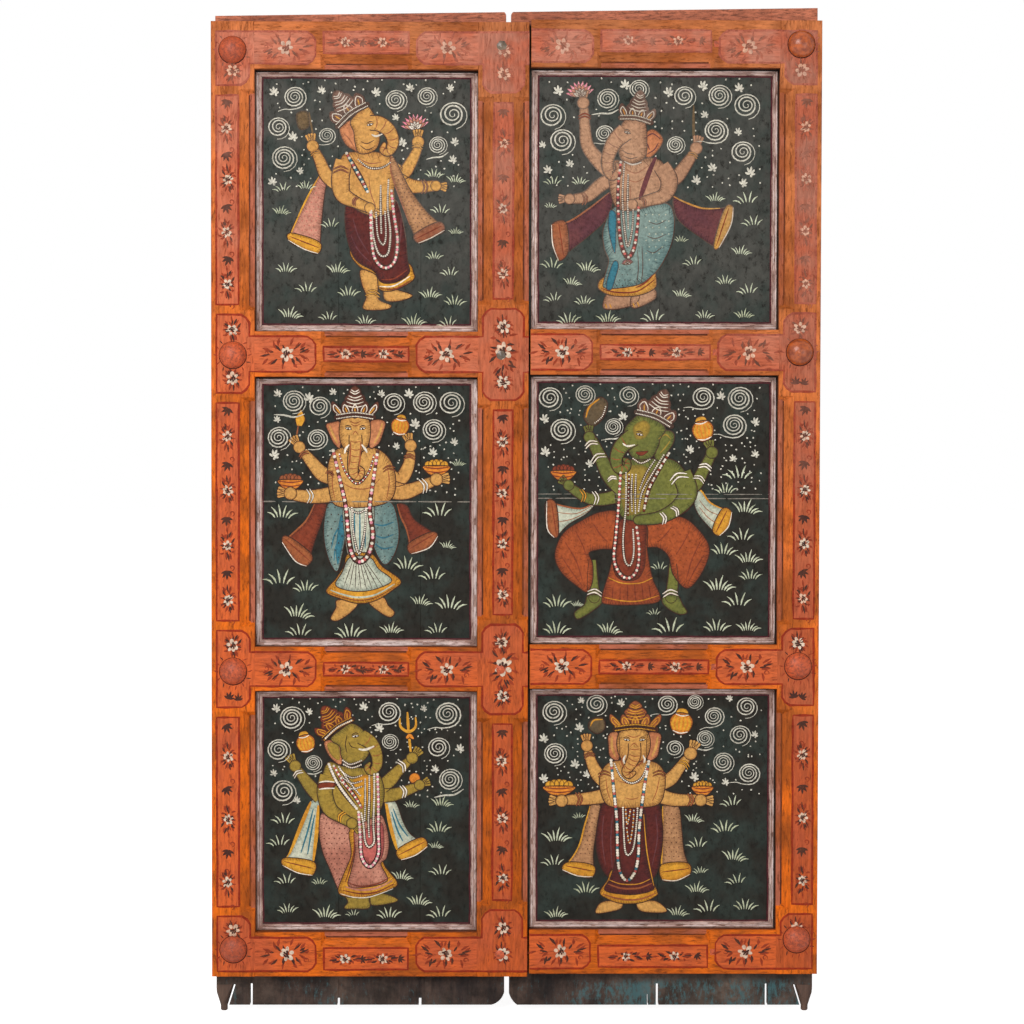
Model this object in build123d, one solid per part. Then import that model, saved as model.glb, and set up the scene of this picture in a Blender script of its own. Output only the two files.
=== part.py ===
"""A pair of plank door leaves with a stop-chamfered front frame, hung on tapered pivot pegs.

Millimetres, +Z up, +X to the right as seen from the front, and the painted front faces -Y.
The origin is the middle of the foot of the whole pair, at the level of the peg tips.
"""
import os

from build123d import *

# Widths across the pair, from the left outer edge to the right one.
left_stile_width = 80.0
left_panel_width = 412.0
strip_width = 94.0
right_panel_width = 463.0
right_stile_width = 77.0

# Heights of the left leaf, from the peg tips to the heads of the boards.
peg_reach = 12.0
board_foot = 58.0
bottom_rail_width = 82.0
lower_panel_height = 450.0
lower_rail_width = 82.0
middle_panel_height = 500.0
upper_rail_width = 84.0
upper_panel_height = 482.0
top_rail_width = 87.0
board_head = 13.0

# The right leaf's frame sits a little higher, and the boards' heads rise from left to right.
right_leaf_rise = 5.0
head_slope_rise = 18.5

# Thicknesses, from the front to the back.
boss_rise = 17.0
frame_thick = 24.0
board_thick = 22.0
rove_thick = 2.5
tail_rise = 2.0

# The stop-chamfered edges of rails, stiles and strip.
fillet_width = 8.0
fillet_drop = 7.0
quirk_width = 3.0
quirk_depth = 2.5
chamfer_width = 17.0
rail_block = 122.0
stile_block_reach = 38.0
strip_block_reach = 50.0
frame_arris = 1.2

# The boards behind the frame and the line where the leaves meet.
board_inset = 6.0
left_post_width = 65.0
right_post_width = 86.0
left_joint_shares = (0.345, 0.667)
right_joint_shares = (0.576,)
meeting_gap = 9.0
strip_lap = 38.0
strip_gap = 3.5
strip_relief = 0.3
board_arris = 0.6

# Open joints, a split and worn corners at the ends of the boards.
slit_width = 5.0
long_slit = 40.0
short_slit = 13.0
split_width = 2.0
split_length = 20.0
split_from_joint = 18.0
left_wear_width = 24.0
left_wear_height = 39.0
right_wear_width = 15.0
right_wear_height = 44.0
head_wear_width = 3.5
head_wear_height = 12.0
wear_bulge_share = 0.45

# The pegs and the bores that they turn in.
pivot_inset = 13.5
nose_radius = 6.5
nose_length = 10.0
nose_ease = 2.0
peg_length = 50.0
peg_top_radius = 19.0
shank_radius = 6.5
shank_length = 60.0
bore_end_room = 2.0
running_clearance = 0.05
seat_clearance = 0.3
notch_clearance = 3.0
head_bore_radius = 7.0
head_bore_depth = 50.0

# Bosses on the outer stiles, with their square shanks riveted over iron roves.
boss_radius = 24.5
boss_lip = 2.5
boss_shank_side = 8.0
rove_side = 24.0
tail_side = 13.0
left_boss_offsets = (10.0, -4.0, -2.0, -9.0)
right_boss_offsets = (24.0, 2.0, 1.0, 0.0)

# Square clenched nails through the rails and the meeting strip.
nail_side = 5.0
nail_head_side = 11.0
nail_head_thick = 2.5
nail_clearance = 0.15
clench_length = 18.0
clench_thick = 3.0
strip_nail_radius = 10.0
strip_nail_rise = 2.5
strip_nail_edge = 8.0
wide_board_nail_shares = (0.3, 0.76)

# How far cutting shapes run past the faces they cut.
overrun = 4.0

# Places along X.
door_width = left_stile_width + left_panel_width + strip_width + right_panel_width + right_stile_width
x_left = -door_width / 2
x_left_rail = x_left + left_stile_width
x_strip = x_left_rail + left_panel_width
x_strip_end = x_strip + strip_width
x_right_rail = x_strip_end + strip_gap
x_right_stile = x_strip_end + right_panel_width
x_right = x_right_stile + right_stile_width
x_meeting = x_strip_end - strip_lap
left_rail_length = left_panel_width
right_rail_length = right_panel_width - strip_gap

left_board_edges = [x_left + board_inset, x_left + board_inset + left_post_width]
left_board_edges.append(x_meeting - meeting_gap / 2)
for share in left_joint_shares:
    left_board_edges.insert(-1, left_board_edges[1] + share * (left_board_edges[-1] - left_board_edges[1]))
right_board_edges = [x_meeting + meeting_gap / 2, x_right - board_inset - right_post_width]
right_board_edges.append(x_right - board_inset)
for share in right_joint_shares:
    right_board_edges.insert(-2, right_board_edges[0] + share * (right_board_edges[-2] - right_board_edges[0]))
x_left_pivot = left_board_edges[0] + pivot_inset
x_right_pivot = right_board_edges[-1] - pivot_inset

# Places along Z: each rail as its foot and its head.
z_board_foot = peg_reach
z_frame_foot = z_board_foot + board_foot
left_rails = {}
z_level = z_frame_foot
for rail_name, rail_width, panel_height in (
    ("bottom", bottom_rail_width, lower_panel_height),
    ("lower", lower_rail_width, middle_panel_height),
    ("upper", upper_rail_width, upper_panel_height),
    ("top", top_rail_width, 0),
):
    left_rails[rail_name] = (z_level, z_level + rail_width)
    z_level += rail_width + panel_height
z_frame_head = z_level
z_left_head = z_frame_head + board_head
z_right_head = z_left_head + head_slope_rise
right_rails = {
    name: (foot + right_leaf_rise, head + right_leaf_rise) for name, (foot, head) in left_rails.items()
}
left_middles = [(foot + head) / 2 for foot, head in left_rails.values()]
right_middles = [(foot + head) / 2 for foot, head in right_rails.values()]
left_boss_heights = [z + offset for z, offset in zip(left_middles, left_boss_offsets)]
right_boss_heights = [z + offset for z, offset in zip(right_middles, right_boss_offsets)]

# Places along Y: the middle of the whole depth is at zero.
whole_depth = boss_rise + frame_thick + board_thick + rove_thick + tail_rise
y_face = -whole_depth / 2 + boss_rise
y_seam = y_face + frame_thick
y_back = y_seam + board_thick
y_pivot = (y_seam + y_back) / 2

os.makedirs("parts", exist_ok=True)


def save(name, shape):
    """Writes one piece, or one group of like pieces, under its own name."""
    shape.label = name
    export_step(shape, f"parts/{name}.step")


def block(x0, x1, y0, y1, z0, z1):
    """A plain block between two corners."""
    lowest = (Align.MIN, Align.MIN, Align.MIN)
    return Pos(x0, y0, z0) * Box(x1 - x0, y1 - y0, z1 - z0, align=lowest)


def stopped_chamfer(start, end):
    """The waste along one edge of a bar lying face up: fillet, quirk and chamfer with 45 degree stops."""
    chamfer_foot = fillet_width + quirk_width
    deepest = fillet_drop + quirk_depth
    outline = Polyline(
        (-overrun, overrun),
        (-overrun, -fillet_drop),
        (fillet_width, -fillet_drop),
        (fillet_width, -deepest),
        (chamfer_foot, -deepest),
        (chamfer_foot + chamfer_width, 0),
        (chamfer_foot + chamfer_width, overrun),
        close=True,
    )
    moulding = Plane.YZ.offset(start - overrun) * make_face(outline)
    waste = extrude(moulding, end - start + 2 * overrun)
    stops = Polyline(
        (start - overrun, overrun),
        (end + overrun, overrun),
        (end - deepest, -deepest),
        (start + deepest, -deepest),
        close=True,
    )
    reach = chamfer_foot + chamfer_width + 2 * overrun
    between_stops = extrude(Plane.XZ * make_face(stops), reach, both=True)
    return waste & between_stops


def framed_bar(length, width, runs, near_edge, far_edge):
    """A bar lying face up along X from zero, with stopped chamfers along its runs."""
    bar = Box(length, width, frame_thick, align=(Align.MIN, Align.MIN, Align.MAX))
    front_edges = bar.edges().filter_by(Axis.X).group_by(Axis.Z)[-1]
    bar = chamfer(front_edges, frame_arris)
    for start, end in runs:
        waste = stopped_chamfer(start, end)
        if near_edge:
            bar -= waste
        if far_edge:
            bar -= Pos(0, width, 0) * mirror(waste, Plane.XZ)
    return bar


def rail_plane(x0, foot):
    """Puts a bar's length along +X and its width up, with its face to the front."""
    return Plane(origin=(x0, y_face, foot), x_dir=(1, 0, 0), z_dir=(0, -1, 0))


def upright_plane(x1, foot):
    """Puts a bar's length up and its width towards -X, with its face to the front."""
    return Plane(origin=(x1, y_face, foot), x_dir=(0, 0, 1), z_dir=(0, -1, 0))


def frame_upright(x1, width, rails, block_reach, near_edge, far_edge):
    """An upright along the rails' whole height, chamfered between its blocks at the rails."""
    spans = list(rails.values())
    foot = spans[0][0]
    runs = []
    for below, above in zip(spans, spans[1:]):
        runs.append((below[1] + block_reach - foot, above[0] - block_reach - foot))
    bar = framed_bar(spans[-1][1] - foot, width, runs, near_edge, far_edge)
    return upright_plane(x1, foot) * bar


def worn_corner(x_edge, z_end, width, height, into_x, into_z):
    """The waste at a board's worn corner, bounded by an arc that keeps most of the wood."""
    side = (x_edge, z_end + into_z * height)
    end = (x_edge + into_x * width, z_end)
    middle_x = (side[0] + end[0]) / 2
    middle_z = (side[1] + end[1]) / 2
    bulge = (
        middle_x + wear_bulge_share * (x_edge - middle_x),
        middle_z + wear_bulge_share * (z_end - middle_z),
    )
    outside_x = x_edge - into_x * overrun
    outside_z = z_end - into_z * overrun
    outline = [
        ThreePointArc(side, bulge, end),
        Polyline(end, (end[0], outside_z), (outside_x, outside_z), (outside_x, side[1]), side),
    ]
    face = Plane.XZ.offset(-y_pivot) * make_face(outline)
    return extrude(face, board_thick, both=True)


def head_height(x):
    """The height of the boards' sloping heads at a place across the pair."""
    share = (x - left_board_edges[0]) / (right_board_edges[-1] - left_board_edges[0])
    return z_left_head + share * head_slope_rise


def board_blank(x0, x1):
    """A straight board from foot to sloping head, with eased front edges."""
    blank = block(x0, x1, y_seam, y_back, z_board_foot, z_right_head)
    front_edges = blank.edges().filter_by(Axis.Z).group_by(Axis.Y)[0]
    blank = chamfer(front_edges, board_arris)
    left_x = x0 - overrun
    right_x = x1 + overrun
    above = Polyline(
        (left_x, head_height(left_x)),
        (right_x, head_height(right_x)),
        (right_x, z_right_head + overrun),
        (left_x, z_right_head + overrun),
        close=True,
    )
    return blank - extrude(Plane.XZ.offset(-y_pivot) * make_face(above), board_thick, both=True)


def open_joint(x_joint, width, length):
    """The slit that an opened joint or split leaves at the foot of the boards."""
    return block(
        x_joint - width / 2, x_joint + width / 2,
        y_seam - overrun, y_back + overrun,
        z_board_foot - overrun, z_board_foot + length,
    )


def square_hole(x, z, side):
    """The square way of a shank right through frame and board."""
    half = side / 2 + nail_clearance
    return block(x - half, x + half, y_face - overrun, y_back + overrun, z - half, z + half)


def nail_recess(x, z):
    """The seat that sinks a rail nail's head flush with the face."""
    half = nail_head_side / 2 + nail_clearance
    return block(x - half, x + half, y_face - overrun, y_face + nail_head_thick, z - half, z + half)


def nail_shank(x, z):
    """A square shank with its end clenched down along the back of the board."""
    half = nail_side / 2
    shank = block(x - half, x + half, y_face, y_back + clench_thick, z - half, z + half)
    clench = block(x - half, x + half, y_back, y_back + clench_thick, z - clench_length, z + half)
    return shank + clench


def rail_nail(x, z):
    """A nail with a flat square head, sunk flush in the rail."""
    half = nail_head_side / 2
    head = block(x - half, x + half, y_face, y_face + nail_head_thick, z - half, z + half)
    return nail_shank(x, z) + head


def crown(radius, foot, top):
    """The arc of a dome's outline, from its foot to its top on the axis."""
    rise = top - foot
    sphere_radius = (radius**2 + rise**2) / (2 * rise)
    return RadiusArc((radius, foot), (0, top), -sphere_radius)


def turned(outline):
    """Turns an outline about Z and stands it on the frame's face, with its top to the front."""
    return revolve(Plane.XZ * make_face(outline), Axis((0, 0, 0), (0, 0, -1)))


def on_face(x, z):
    """The place on the frame's face at a point, looking out of the face."""
    return Plane(origin=(x, y_face, z), z_dir=(0, -1, 0))


def strip_nail(x, z):
    """A nail with a low round head that stands on the strip's face."""
    outline = [
        Polyline((0, strip_nail_rise), (0, 0), (strip_nail_radius, 0)),
        crown(strip_nail_radius, 0, strip_nail_rise),
    ]
    return nail_shank(x, z) + on_face(x, z) * turned(outline)


def boss_nail(x, z):
    """A domed boss forged in one with the square shank that is riveted over at the back."""
    outline = [
        Polyline((0, boss_rise), (0, 0), (boss_radius, 0), (boss_radius, boss_lip)),
        crown(boss_radius, boss_lip, boss_rise),
    ]
    half = boss_shank_side / 2
    tail = tail_side / 2
    y_tail = y_back + rove_thick
    shank = block(x - half, x + half, y_face, y_tail, z - half, z + half)
    shank += block(x - tail, x + tail, y_tail, y_tail + tail_rise, z - tail, z + tail)
    return on_face(x, z) * turned(outline) + shank


def rove(x, z):
    """The iron plate, set on its corner, that a boss shank is riveted over."""
    half = rove_side / 2
    plate = block(-half, half, y_back, y_back + rove_thick, -half, half).rotate(Axis.Y, 45)
    hole = boss_shank_side / 2 + nail_clearance
    plate -= block(-hole, hole, y_back - overrun, y_back + rove_thick + overrun, -hole, hole)
    return Pos(x, 0, z) * plate


def pivot_post(x0, x1, x_pivot, into_leaf, boss_places):
    """The hanging board: notched round the peg, bored for it, and bored for the pin above."""
    post = board_blank(x0, x1)
    shoulder = peg_length + seat_clearance
    outer = x_pivot - into_leaf * (pivot_inset + overrun)
    notch = Polyline(
        (outer, shoulder),
        (x_pivot + into_leaf * (peg_top_radius + notch_clearance), shoulder),
        (x_pivot + into_leaf * (nose_radius + notch_clearance), nose_length),
        (x_pivot + into_leaf * (nose_radius + notch_clearance), -overrun),
        (outer, -overrun),
        close=True,
    )
    post -= extrude(Plane.XZ.offset(-y_pivot) * make_face(notch), board_thick, both=True)
    upright = (Align.CENTER, Align.CENTER, Align.MIN)
    bore_depth = shank_length + bore_end_room
    post -= Pos(x_pivot, y_pivot, peg_length) * Cylinder(
        shank_radius + running_clearance, bore_depth, align=upright
    )
    post -= Pos(x_pivot, y_pivot, head_height(x_pivot) - head_bore_depth) * Cylinder(
        head_bore_radius, head_bore_depth + overrun, align=upright
    )
    for x, z in boss_places:
        post -= square_hole(x, z, boss_shank_side)
    return post


def pivot_peg(x_pivot, into_leaf):
    """A peg cut from the board's thickness: round nose below, tapered sides, shank in the post above."""
    upright = (Align.CENTER, Align.CENTER, Align.MIN)
    taper = Pos(0, 0, nose_length) * Cone(nose_radius, peg_top_radius, peg_length - nose_length, align=upright)
    half_depth = board_thick / 2
    outer = -into_leaf * pivot_inset
    inner = into_leaf * (peg_top_radius + overrun)
    taper &= block(min(outer, inner), max(outer, inner), -half_depth, half_depth, 0, peg_length)
    nose = Cylinder(nose_radius, nose_length, align=upright)
    nose = chamfer(nose.edges().group_by(Axis.Z)[0], nose_ease)
    shank = Pos(0, 0, peg_length) * Cylinder(shank_radius, shank_length, align=upright)
    return Pos(x_pivot, y_pivot, 0) * (taper + nose + shank)


def frame_rail(x0, length, rail_name, span, nail_places):
    """A rail between its uprights, chamfered towards the panels and cut for its nails."""
    foot, head = span
    runs = [(rail_block, length - rail_block)]
    bar = framed_bar(length, head - foot, runs, rail_name != "bottom", rail_name != "top")
    bar = rail_plane(x0, foot) * bar
    z = (foot + head) / 2
    for x in nail_places:
        bar -= nail_recess(x, z)
        bar -= square_hole(x, z, nail_side)
    return bar


def shared_middle(board, rail):
    """The middle of the stretch where a board lies behind a rail."""
    return (max(board[0], rail[0]) + min(board[1], rail[1])) / 2


def leaf_boards(side, edges, slits):
    """The boards of one leaf beside its post, each as its span and its foot slits."""
    boards = {}
    for number, (x0, x1) in enumerate(zip(edges, edges[1:]), start=1):
        board = board_blank(x0, x1)
        for x_joint, length in slits:
            board -= open_joint(x_joint, slit_width, length)
        boards[f"{side}_board_{number}"] = board
    return boards


# Pegs, which the leaves turn on.
save("left_pivot_peg", pivot_peg(x_left_pivot, 1))
save("right_pivot_peg", pivot_peg(x_right_pivot, -1))

# Posts, and the outer stiles that the bosses hold on.
x_left_boss = (x_left + x_left_rail) / 2
x_right_boss = (x_right_stile + x_right) / 2
left_boss_places = [(x_left_boss, z) for z in left_boss_heights]
right_boss_places = [(x_right_boss, z) for z in right_boss_heights]

left_post = pivot_post(left_board_edges[0], left_board_edges[1], x_left_pivot, 1, left_boss_places)
right_post = pivot_post(right_board_edges[-2], right_board_edges[-1], x_right_pivot, -1, right_boss_places)
save("left_pivot_post", left_post - open_joint(left_board_edges[1], slit_width, long_slit))
save("right_pivot_post", right_post - open_joint(right_board_edges[-2], slit_width, long_slit))

left_stile = frame_upright(x_left_rail, left_stile_width, left_rails, stile_block_reach, True, False)
right_stile = frame_upright(x_right, right_stile_width, right_rails, stile_block_reach, False, True)
for x, z in left_boss_places:
    left_stile -= square_hole(x, z, boss_shank_side)
for x, z in right_boss_places:
    right_stile -= square_hole(x, z, boss_shank_side)
save("left_outer_stile", left_stile)
save("right_outer_stile", right_stile)

for side, places in (("left", left_boss_places), ("right", right_boss_places)):
    save(f"{side}_bosses", Compound([boss_nail(x, z) for x, z in places]))
    save(f"{side}_roves", Compound([rove(x, z) for x, z in places]))

# Boards beside the posts, worn where the leaves meet and nailed to each rail.
left_slits = [
    (left_board_edges[1], long_slit),
    (left_board_edges[2], short_slit),
    (left_board_edges[3], short_slit),
]
right_slits = [(right_board_edges[1], long_slit), (right_board_edges[2], long_slit)]
left_boards = leaf_boards("left", left_board_edges[1:], left_slits)
right_boards = leaf_boards("right", right_board_edges[:-1], right_slits)
left_inner = f"left_board_{len(left_boards)}"
left_edge = left_board_edges[-1]
right_edge = right_board_edges[0]
left_boards[left_inner] -= worn_corner(left_edge, z_board_foot, left_wear_width, left_wear_height, -1, 1)
left_boards[left_inner] -= worn_corner(
    left_edge, head_height(left_edge), head_wear_width, head_wear_height, -1, -1
)
right_boards["right_board_1"] -= worn_corner(
    right_edge, z_board_foot, right_wear_width, right_wear_height, 1, 1
)
right_boards["right_board_1"] -= worn_corner(
    right_edge, head_height(right_edge), head_wear_width, head_wear_height, 1, -1
)
right_boards["right_board_1"] -= open_joint(
    right_board_edges[1] - split_from_joint, split_width, split_length
)

left_rail_span = (x_left_rail, x_strip)
right_rail_span = (x_right_rail, x_right_stile)
left_nail_places = [
    shared_middle(board, left_rail_span) for board in zip(left_board_edges[1:], left_board_edges[2:])
]
wide_board_width = right_board_edges[1] - x_right_rail
right_nail_places = [x_right_rail + share * wide_board_width for share in wide_board_nail_shares]
right_nail_places.append(shared_middle(right_board_edges[1:3], right_rail_span))
x_strip_nail = left_edge - strip_nail_edge

for z in left_middles:
    for number, x in enumerate(left_nail_places, start=1):
        left_boards[f"left_board_{number}"] -= square_hole(x, z, nail_side)
    left_boards[left_inner] -= square_hole(x_strip_nail, z, nail_side)
for z in right_middles:
    right_boards["right_board_1"] -= square_hole(right_nail_places[0], z, nail_side)
    right_boards["right_board_1"] -= square_hole(right_nail_places[1], z, nail_side)
    right_boards["right_board_2"] -= square_hole(right_nail_places[2], z, nail_side)
for name, board in {**left_boards, **right_boards}.items():
    save(name, board)

# Rails and the nails that hold the boards to them.
for name, span in left_rails.items():
    save(f"left_{name}_rail", frame_rail(x_left_rail, left_rail_length, name, span, left_nail_places))
for name, span in right_rails.items():
    save(f"right_{name}_rail", frame_rail(x_right_rail, right_rail_length, name, span, right_nail_places))
save("left_rail_nails", Compound([rail_nail(x, z) for z in left_middles for x in left_nail_places]))
save("right_rail_nails", Compound([rail_nail(x, z) for z in right_middles for x in right_nail_places]))

# The meeting strip on the left leaf, relieved behind where it laps over the right leaf.
strip = frame_upright(x_strip_end, strip_width, left_rails, strip_block_reach, True, True)
strip -= block(
    x_meeting, x_strip_end + overrun,
    y_seam - strip_relief, y_seam + overrun,
    z_frame_foot - overrun, z_frame_head + overrun,
)
for z in left_middles:
    strip -= square_hole(x_strip_nail, z, nail_side)
save("meeting_strip", strip)
save("strip_nails", Compound([strip_nail(x_strip_nail, z) for z in left_middles]))
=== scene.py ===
"""Painted plank double door: its finishes, and the painted decoration on its frame and panels.

Metres, in the frame of the CAD model: +Z up, +X to the right as seen from the front, the front faces -Y.
"""

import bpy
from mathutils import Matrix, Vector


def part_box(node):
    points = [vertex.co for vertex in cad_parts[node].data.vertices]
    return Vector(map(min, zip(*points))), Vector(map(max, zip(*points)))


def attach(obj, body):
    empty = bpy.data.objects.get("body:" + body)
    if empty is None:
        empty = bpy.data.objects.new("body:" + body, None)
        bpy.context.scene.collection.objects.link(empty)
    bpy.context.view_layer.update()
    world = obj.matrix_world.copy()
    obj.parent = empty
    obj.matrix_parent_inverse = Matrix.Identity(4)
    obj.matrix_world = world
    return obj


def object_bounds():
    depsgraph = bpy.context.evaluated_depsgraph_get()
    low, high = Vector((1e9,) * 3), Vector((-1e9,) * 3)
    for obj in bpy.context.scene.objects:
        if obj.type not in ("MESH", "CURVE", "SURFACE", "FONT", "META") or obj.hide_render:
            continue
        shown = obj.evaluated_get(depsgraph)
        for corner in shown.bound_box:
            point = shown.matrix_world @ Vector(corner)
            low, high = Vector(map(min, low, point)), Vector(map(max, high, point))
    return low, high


bl_info = {
    "name": "Painted plank double door",
    "version": (1, 0, 0),
    "blender": (4, 5, 0),
    "location": "View3D > Sidebar > Door",
    "description": "Finishes and painted decoration of an old plank double door",
    "category": "Object",
}

import math
import random

import bmesh
import bpy
import numpy as np
from mathutils import Vector, noise

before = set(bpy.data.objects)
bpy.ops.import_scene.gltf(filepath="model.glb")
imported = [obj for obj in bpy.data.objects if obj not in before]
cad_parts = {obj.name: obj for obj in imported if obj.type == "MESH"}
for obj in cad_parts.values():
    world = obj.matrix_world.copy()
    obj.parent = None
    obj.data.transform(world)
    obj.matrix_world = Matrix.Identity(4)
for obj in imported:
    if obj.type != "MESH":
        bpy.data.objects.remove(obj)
cad_low, cad_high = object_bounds()

# The seed of all wavering of lines and shifting of flowers.
noise.seed_set(11)

MM = 0.001
UP = -math.pi / 2
RAIL_NAMES = ("bottom", "lower", "upper", "top")


def reach(node, axis):
    """The lowest and highest place of a CAD node along one axis."""
    low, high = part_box(node)
    return low[axis], high[axis]


left_stile_x = reach("left_outer_stile", 0)
right_stile_x = reach("right_outer_stile", 0)
strip_x = reach("meeting_strip", 0)
left_rails = {name: reach(f"left_{name}_rail", 2) for name in RAIL_NAMES}
right_rails = {name: reach(f"right_{name}_rail", 2) for name in RAIL_NAMES}
right_rail_start = reach("right_lower_rail", 0)[0]
face_y = reach("meeting_strip", 1)[0]
ground_y = reach("left_board_1", 1)[0]
frame_foot = left_rails["bottom"][0]
frame_head = left_rails["top"][1]

# The worked edges of the frame, as the solids have them.
fillet_width = 8 * MM
quirk_width = 3 * MM
chamfer_width = 17 * MM
moulding_width = fillet_width + quirk_width + chamfer_width
rail_block = 122 * MM
stile_block_reach = 38 * MM
strip_block_reach = 50 * MM

left_boss_x = -523 * MM
left_boss_heights = [z * MM for z in (121, 639, 1224, 1784.5)]
right_boss_x = 524.5 * MM
right_boss_heights = [z * MM for z in (140, 650, 1232, 1798.5)]

# How high each coat of paint lies on the coat below it.
coat = 0.16 * MM


def srgb(red, green, blue):
    """A colour named by its screen values, as the linear values that shaders use."""
    def linear(value):
        share = value / 255
        return share / 12.92 if share <= 0.04045 else ((share + 0.055) / 1.055) ** 2.4
    return linear(red), linear(green), linear(blue)


def colour_property(label, text, red, green, blue):
    """A colour that a user may change, given by its screen values."""
    return bpy.props.FloatVectorProperty(
        name=label, description=text, subtype="COLOR", size=3, min=0, max=1, default=srgb(red, green, blue)
    )


def length_property(label, text, millimetres):
    """A length that a user may change, given in millimetres."""
    return bpy.props.FloatProperty(
        name=label, description=text, unit="LENGTH", precision=4, min=0, default=millimetres * MM
    )


class DoorColours(bpy.types.PropertyGroup):
    """The paints of the door."""
    field_orange: colour_property("Field orange", "Fields of the frame, low on the door", 200, 90, 38)
    field_dusty: colour_property("Field, dusty", "Fields of the frame, high on the door", 180, 114, 92)
    ochre: colour_property("Ochre", "Bands and chamfers of the frame, low on the door", 206, 96, 8)
    ochre_dusty: colour_property("Ochre, dusty", "Bands and chamfers, high on the door", 182, 106, 60)
    fillet_pink: colour_property("Fillet pink", "Narrow fillets beside the panels", 168, 92, 66)
    # Painted shade: the dark brown laid in the grooves and on the sides of the frame.
    groove_and_side_shade: colour_property("Groove brown", "Grooves and sides of the frame", 70, 26, 12)
    line_red: colour_property("Line red", "Lines round the fields", 142, 40, 8)
    ground_green: colour_property("Ground green", "Ground of the lower panels", 32, 29, 23)
    ground_grey: colour_property("Ground grey", "Faded ground of the upper panels", 64, 63, 58)
    border_white: colour_property("Border white", "Bands round the panels", 182, 150, 138)
    border_dirt: colour_property("Border dirt", "Dirt on the bands round the panels", 134, 98, 86)
    border_pale: colour_property("Border, pale", "Pale streaks along the bands", 222, 204, 198)
    border_shade: colour_property("Border shade", "Dark lines under the rails", 30, 20, 15)
    scratch: colour_property("Scratch", "Pale scratches across the middle panels", 138, 130, 118)
    border_maroon: colour_property("Border maroon", "Lines inside the bands", 78, 22, 30)
    chalk: colour_property("Chalk white", "Spirals, buds and dots", 206, 200, 184)
    grass: colour_property("Grass", "Tufts of grass", 198, 202, 174)
    petal: colour_property("Petal", "Flowers on the frame", 208, 188, 166)
    leaf: colour_property("Leaf", "Dark strokes and flower hearts on the frame", 58, 28, 20)
    scroll: colour_property("Scroll", "Reddish strokes and curls on the frame", 142, 52, 24)


class DoorSizes(bpy.types.PropertyGroup):
    """The sizes of the painted decoration."""
    field_margin: length_property("Field margin", "Ochre band beside a field", 9.5)
    edge_margin: length_property("Edge margin", "Ochre band along the outer edges", 10)
    head_margin: length_property("Head margin", "Ochre band along the top", 19)
    field_cut: length_property("Field cut", "Corner cut off a field", 15)
    outline_width: length_property("Outline width", "Lines round the fields", 5)
    border_width: length_property("Border width", "Bands round the panels", 12)
    border_line: length_property("Border line", "Lines inside the bands", 3)
    flower_size: length_property("Flower size", "Flowers on the frame", 19)
    flower_pitch: length_property("Flower pitch", "From flower to flower along an upright", 104)


# Node helpers.


def node(tree, kind, **settings):
    """Adds a node and sets its options."""
    made = tree.nodes.new(kind)
    for name, value in settings.items():
        setattr(made, name, value)
    return made


def feed(tree, socket, value):
    """Links a socket to another, or sets it to a plain value."""
    if isinstance(value, bpy.types.NodeSocket):
        tree.links.new(value, socket)
    elif isinstance(value, (tuple, list)) and len(value) == 3 and socket.type == "RGBA":
        socket.default_value = (*value, 1)
    else:
        socket.default_value = value


def mixed(tree, factor, first, second, blend="MIX"):
    """A colour between two others."""
    made = node(tree, "ShaderNodeMix", data_type="RGBA", blend_type=blend)
    feed(tree, made.inputs[0], factor)
    feed(tree, made.inputs[6], first)
    feed(tree, made.inputs[7], second)
    return made.outputs[2]


def maths(tree, operation, first, second=0.0):
    """The result of one sum on two values."""
    made = node(tree, "ShaderNodeMath", operation=operation)
    feed(tree, made.inputs[0], first)
    feed(tree, made.inputs[1], second)
    return made.outputs[0]


def times(tree, first, second):
    """One value times another."""
    return maths(tree, "MULTIPLY", first, second)


def plus(tree, first, second):
    """One value and another."""
    return maths(tree, "ADD", first, second)


def toned(tree, colour, tone):
    """A colour made darker or lighter by a tone."""
    return mixed(tree, 1.0, colour, tone, "MULTIPLY")


def parts_of(tree, vector):
    """The parts of a place or direction across, in depth and up."""
    made = node(tree, "ShaderNodeSeparateXYZ")
    tree.links.new(vector, made.inputs[0])
    return made.outputs


def ramped(tree, value, low, high, first=0.0, last=1.0):
    """A value brought from one range to another and held within it."""
    made = node(tree, "ShaderNodeMapRange", interpolation_type="SMOOTHSTEP")
    feed(tree, made.inputs["Value"], value)
    made.inputs["From Min"].default_value = low
    made.inputs["From Max"].default_value = high
    made.inputs["To Min"].default_value = first
    made.inputs["To Max"].default_value = last
    return made.outputs["Result"]


def noisy(tree, vector, scale, detail=4.0, roughness=0.55):
    """Noise between 0 and 1 at a place."""
    made = node(tree, "ShaderNodeTexNoise")
    feed(tree, made.inputs["Vector"], vector)
    made.inputs["Scale"].default_value = scale
    made.inputs["Detail"].default_value = detail
    made.inputs["Roughness"].default_value = roughness
    return made.outputs["Fac"]


def stretched(tree, vector, scale):
    """A place with its axes stretched."""
    made = node(tree, "ShaderNodeVectorMath", operation="MULTIPLY")
    feed(tree, made.inputs[0], vector)
    feed(tree, made.inputs[1], scale)
    return made.outputs[0]


def shader_group(name, inputs, outputs):
    """An empty shader group with named sockets, and its input and output nodes."""
    tree = bpy.data.node_groups.new(name, "ShaderNodeTree")
    for label, kind, value in inputs:
        socket = tree.interface.new_socket(label, in_out="INPUT", socket_type=kind)
        socket.default_value = value
    for label, kind in outputs:
        tree.interface.new_socket(label, in_out="OUTPUT", socket_type=kind)
    return tree, node(tree, "NodeGroupInput"), node(tree, "NodeGroupOutput")


COLOUR = "NodeSocketColor"
VALUE = "NodeSocketFloat"
VECTOR = "NodeSocketVector"
WHITE = (1, 1, 1, 1)


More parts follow.
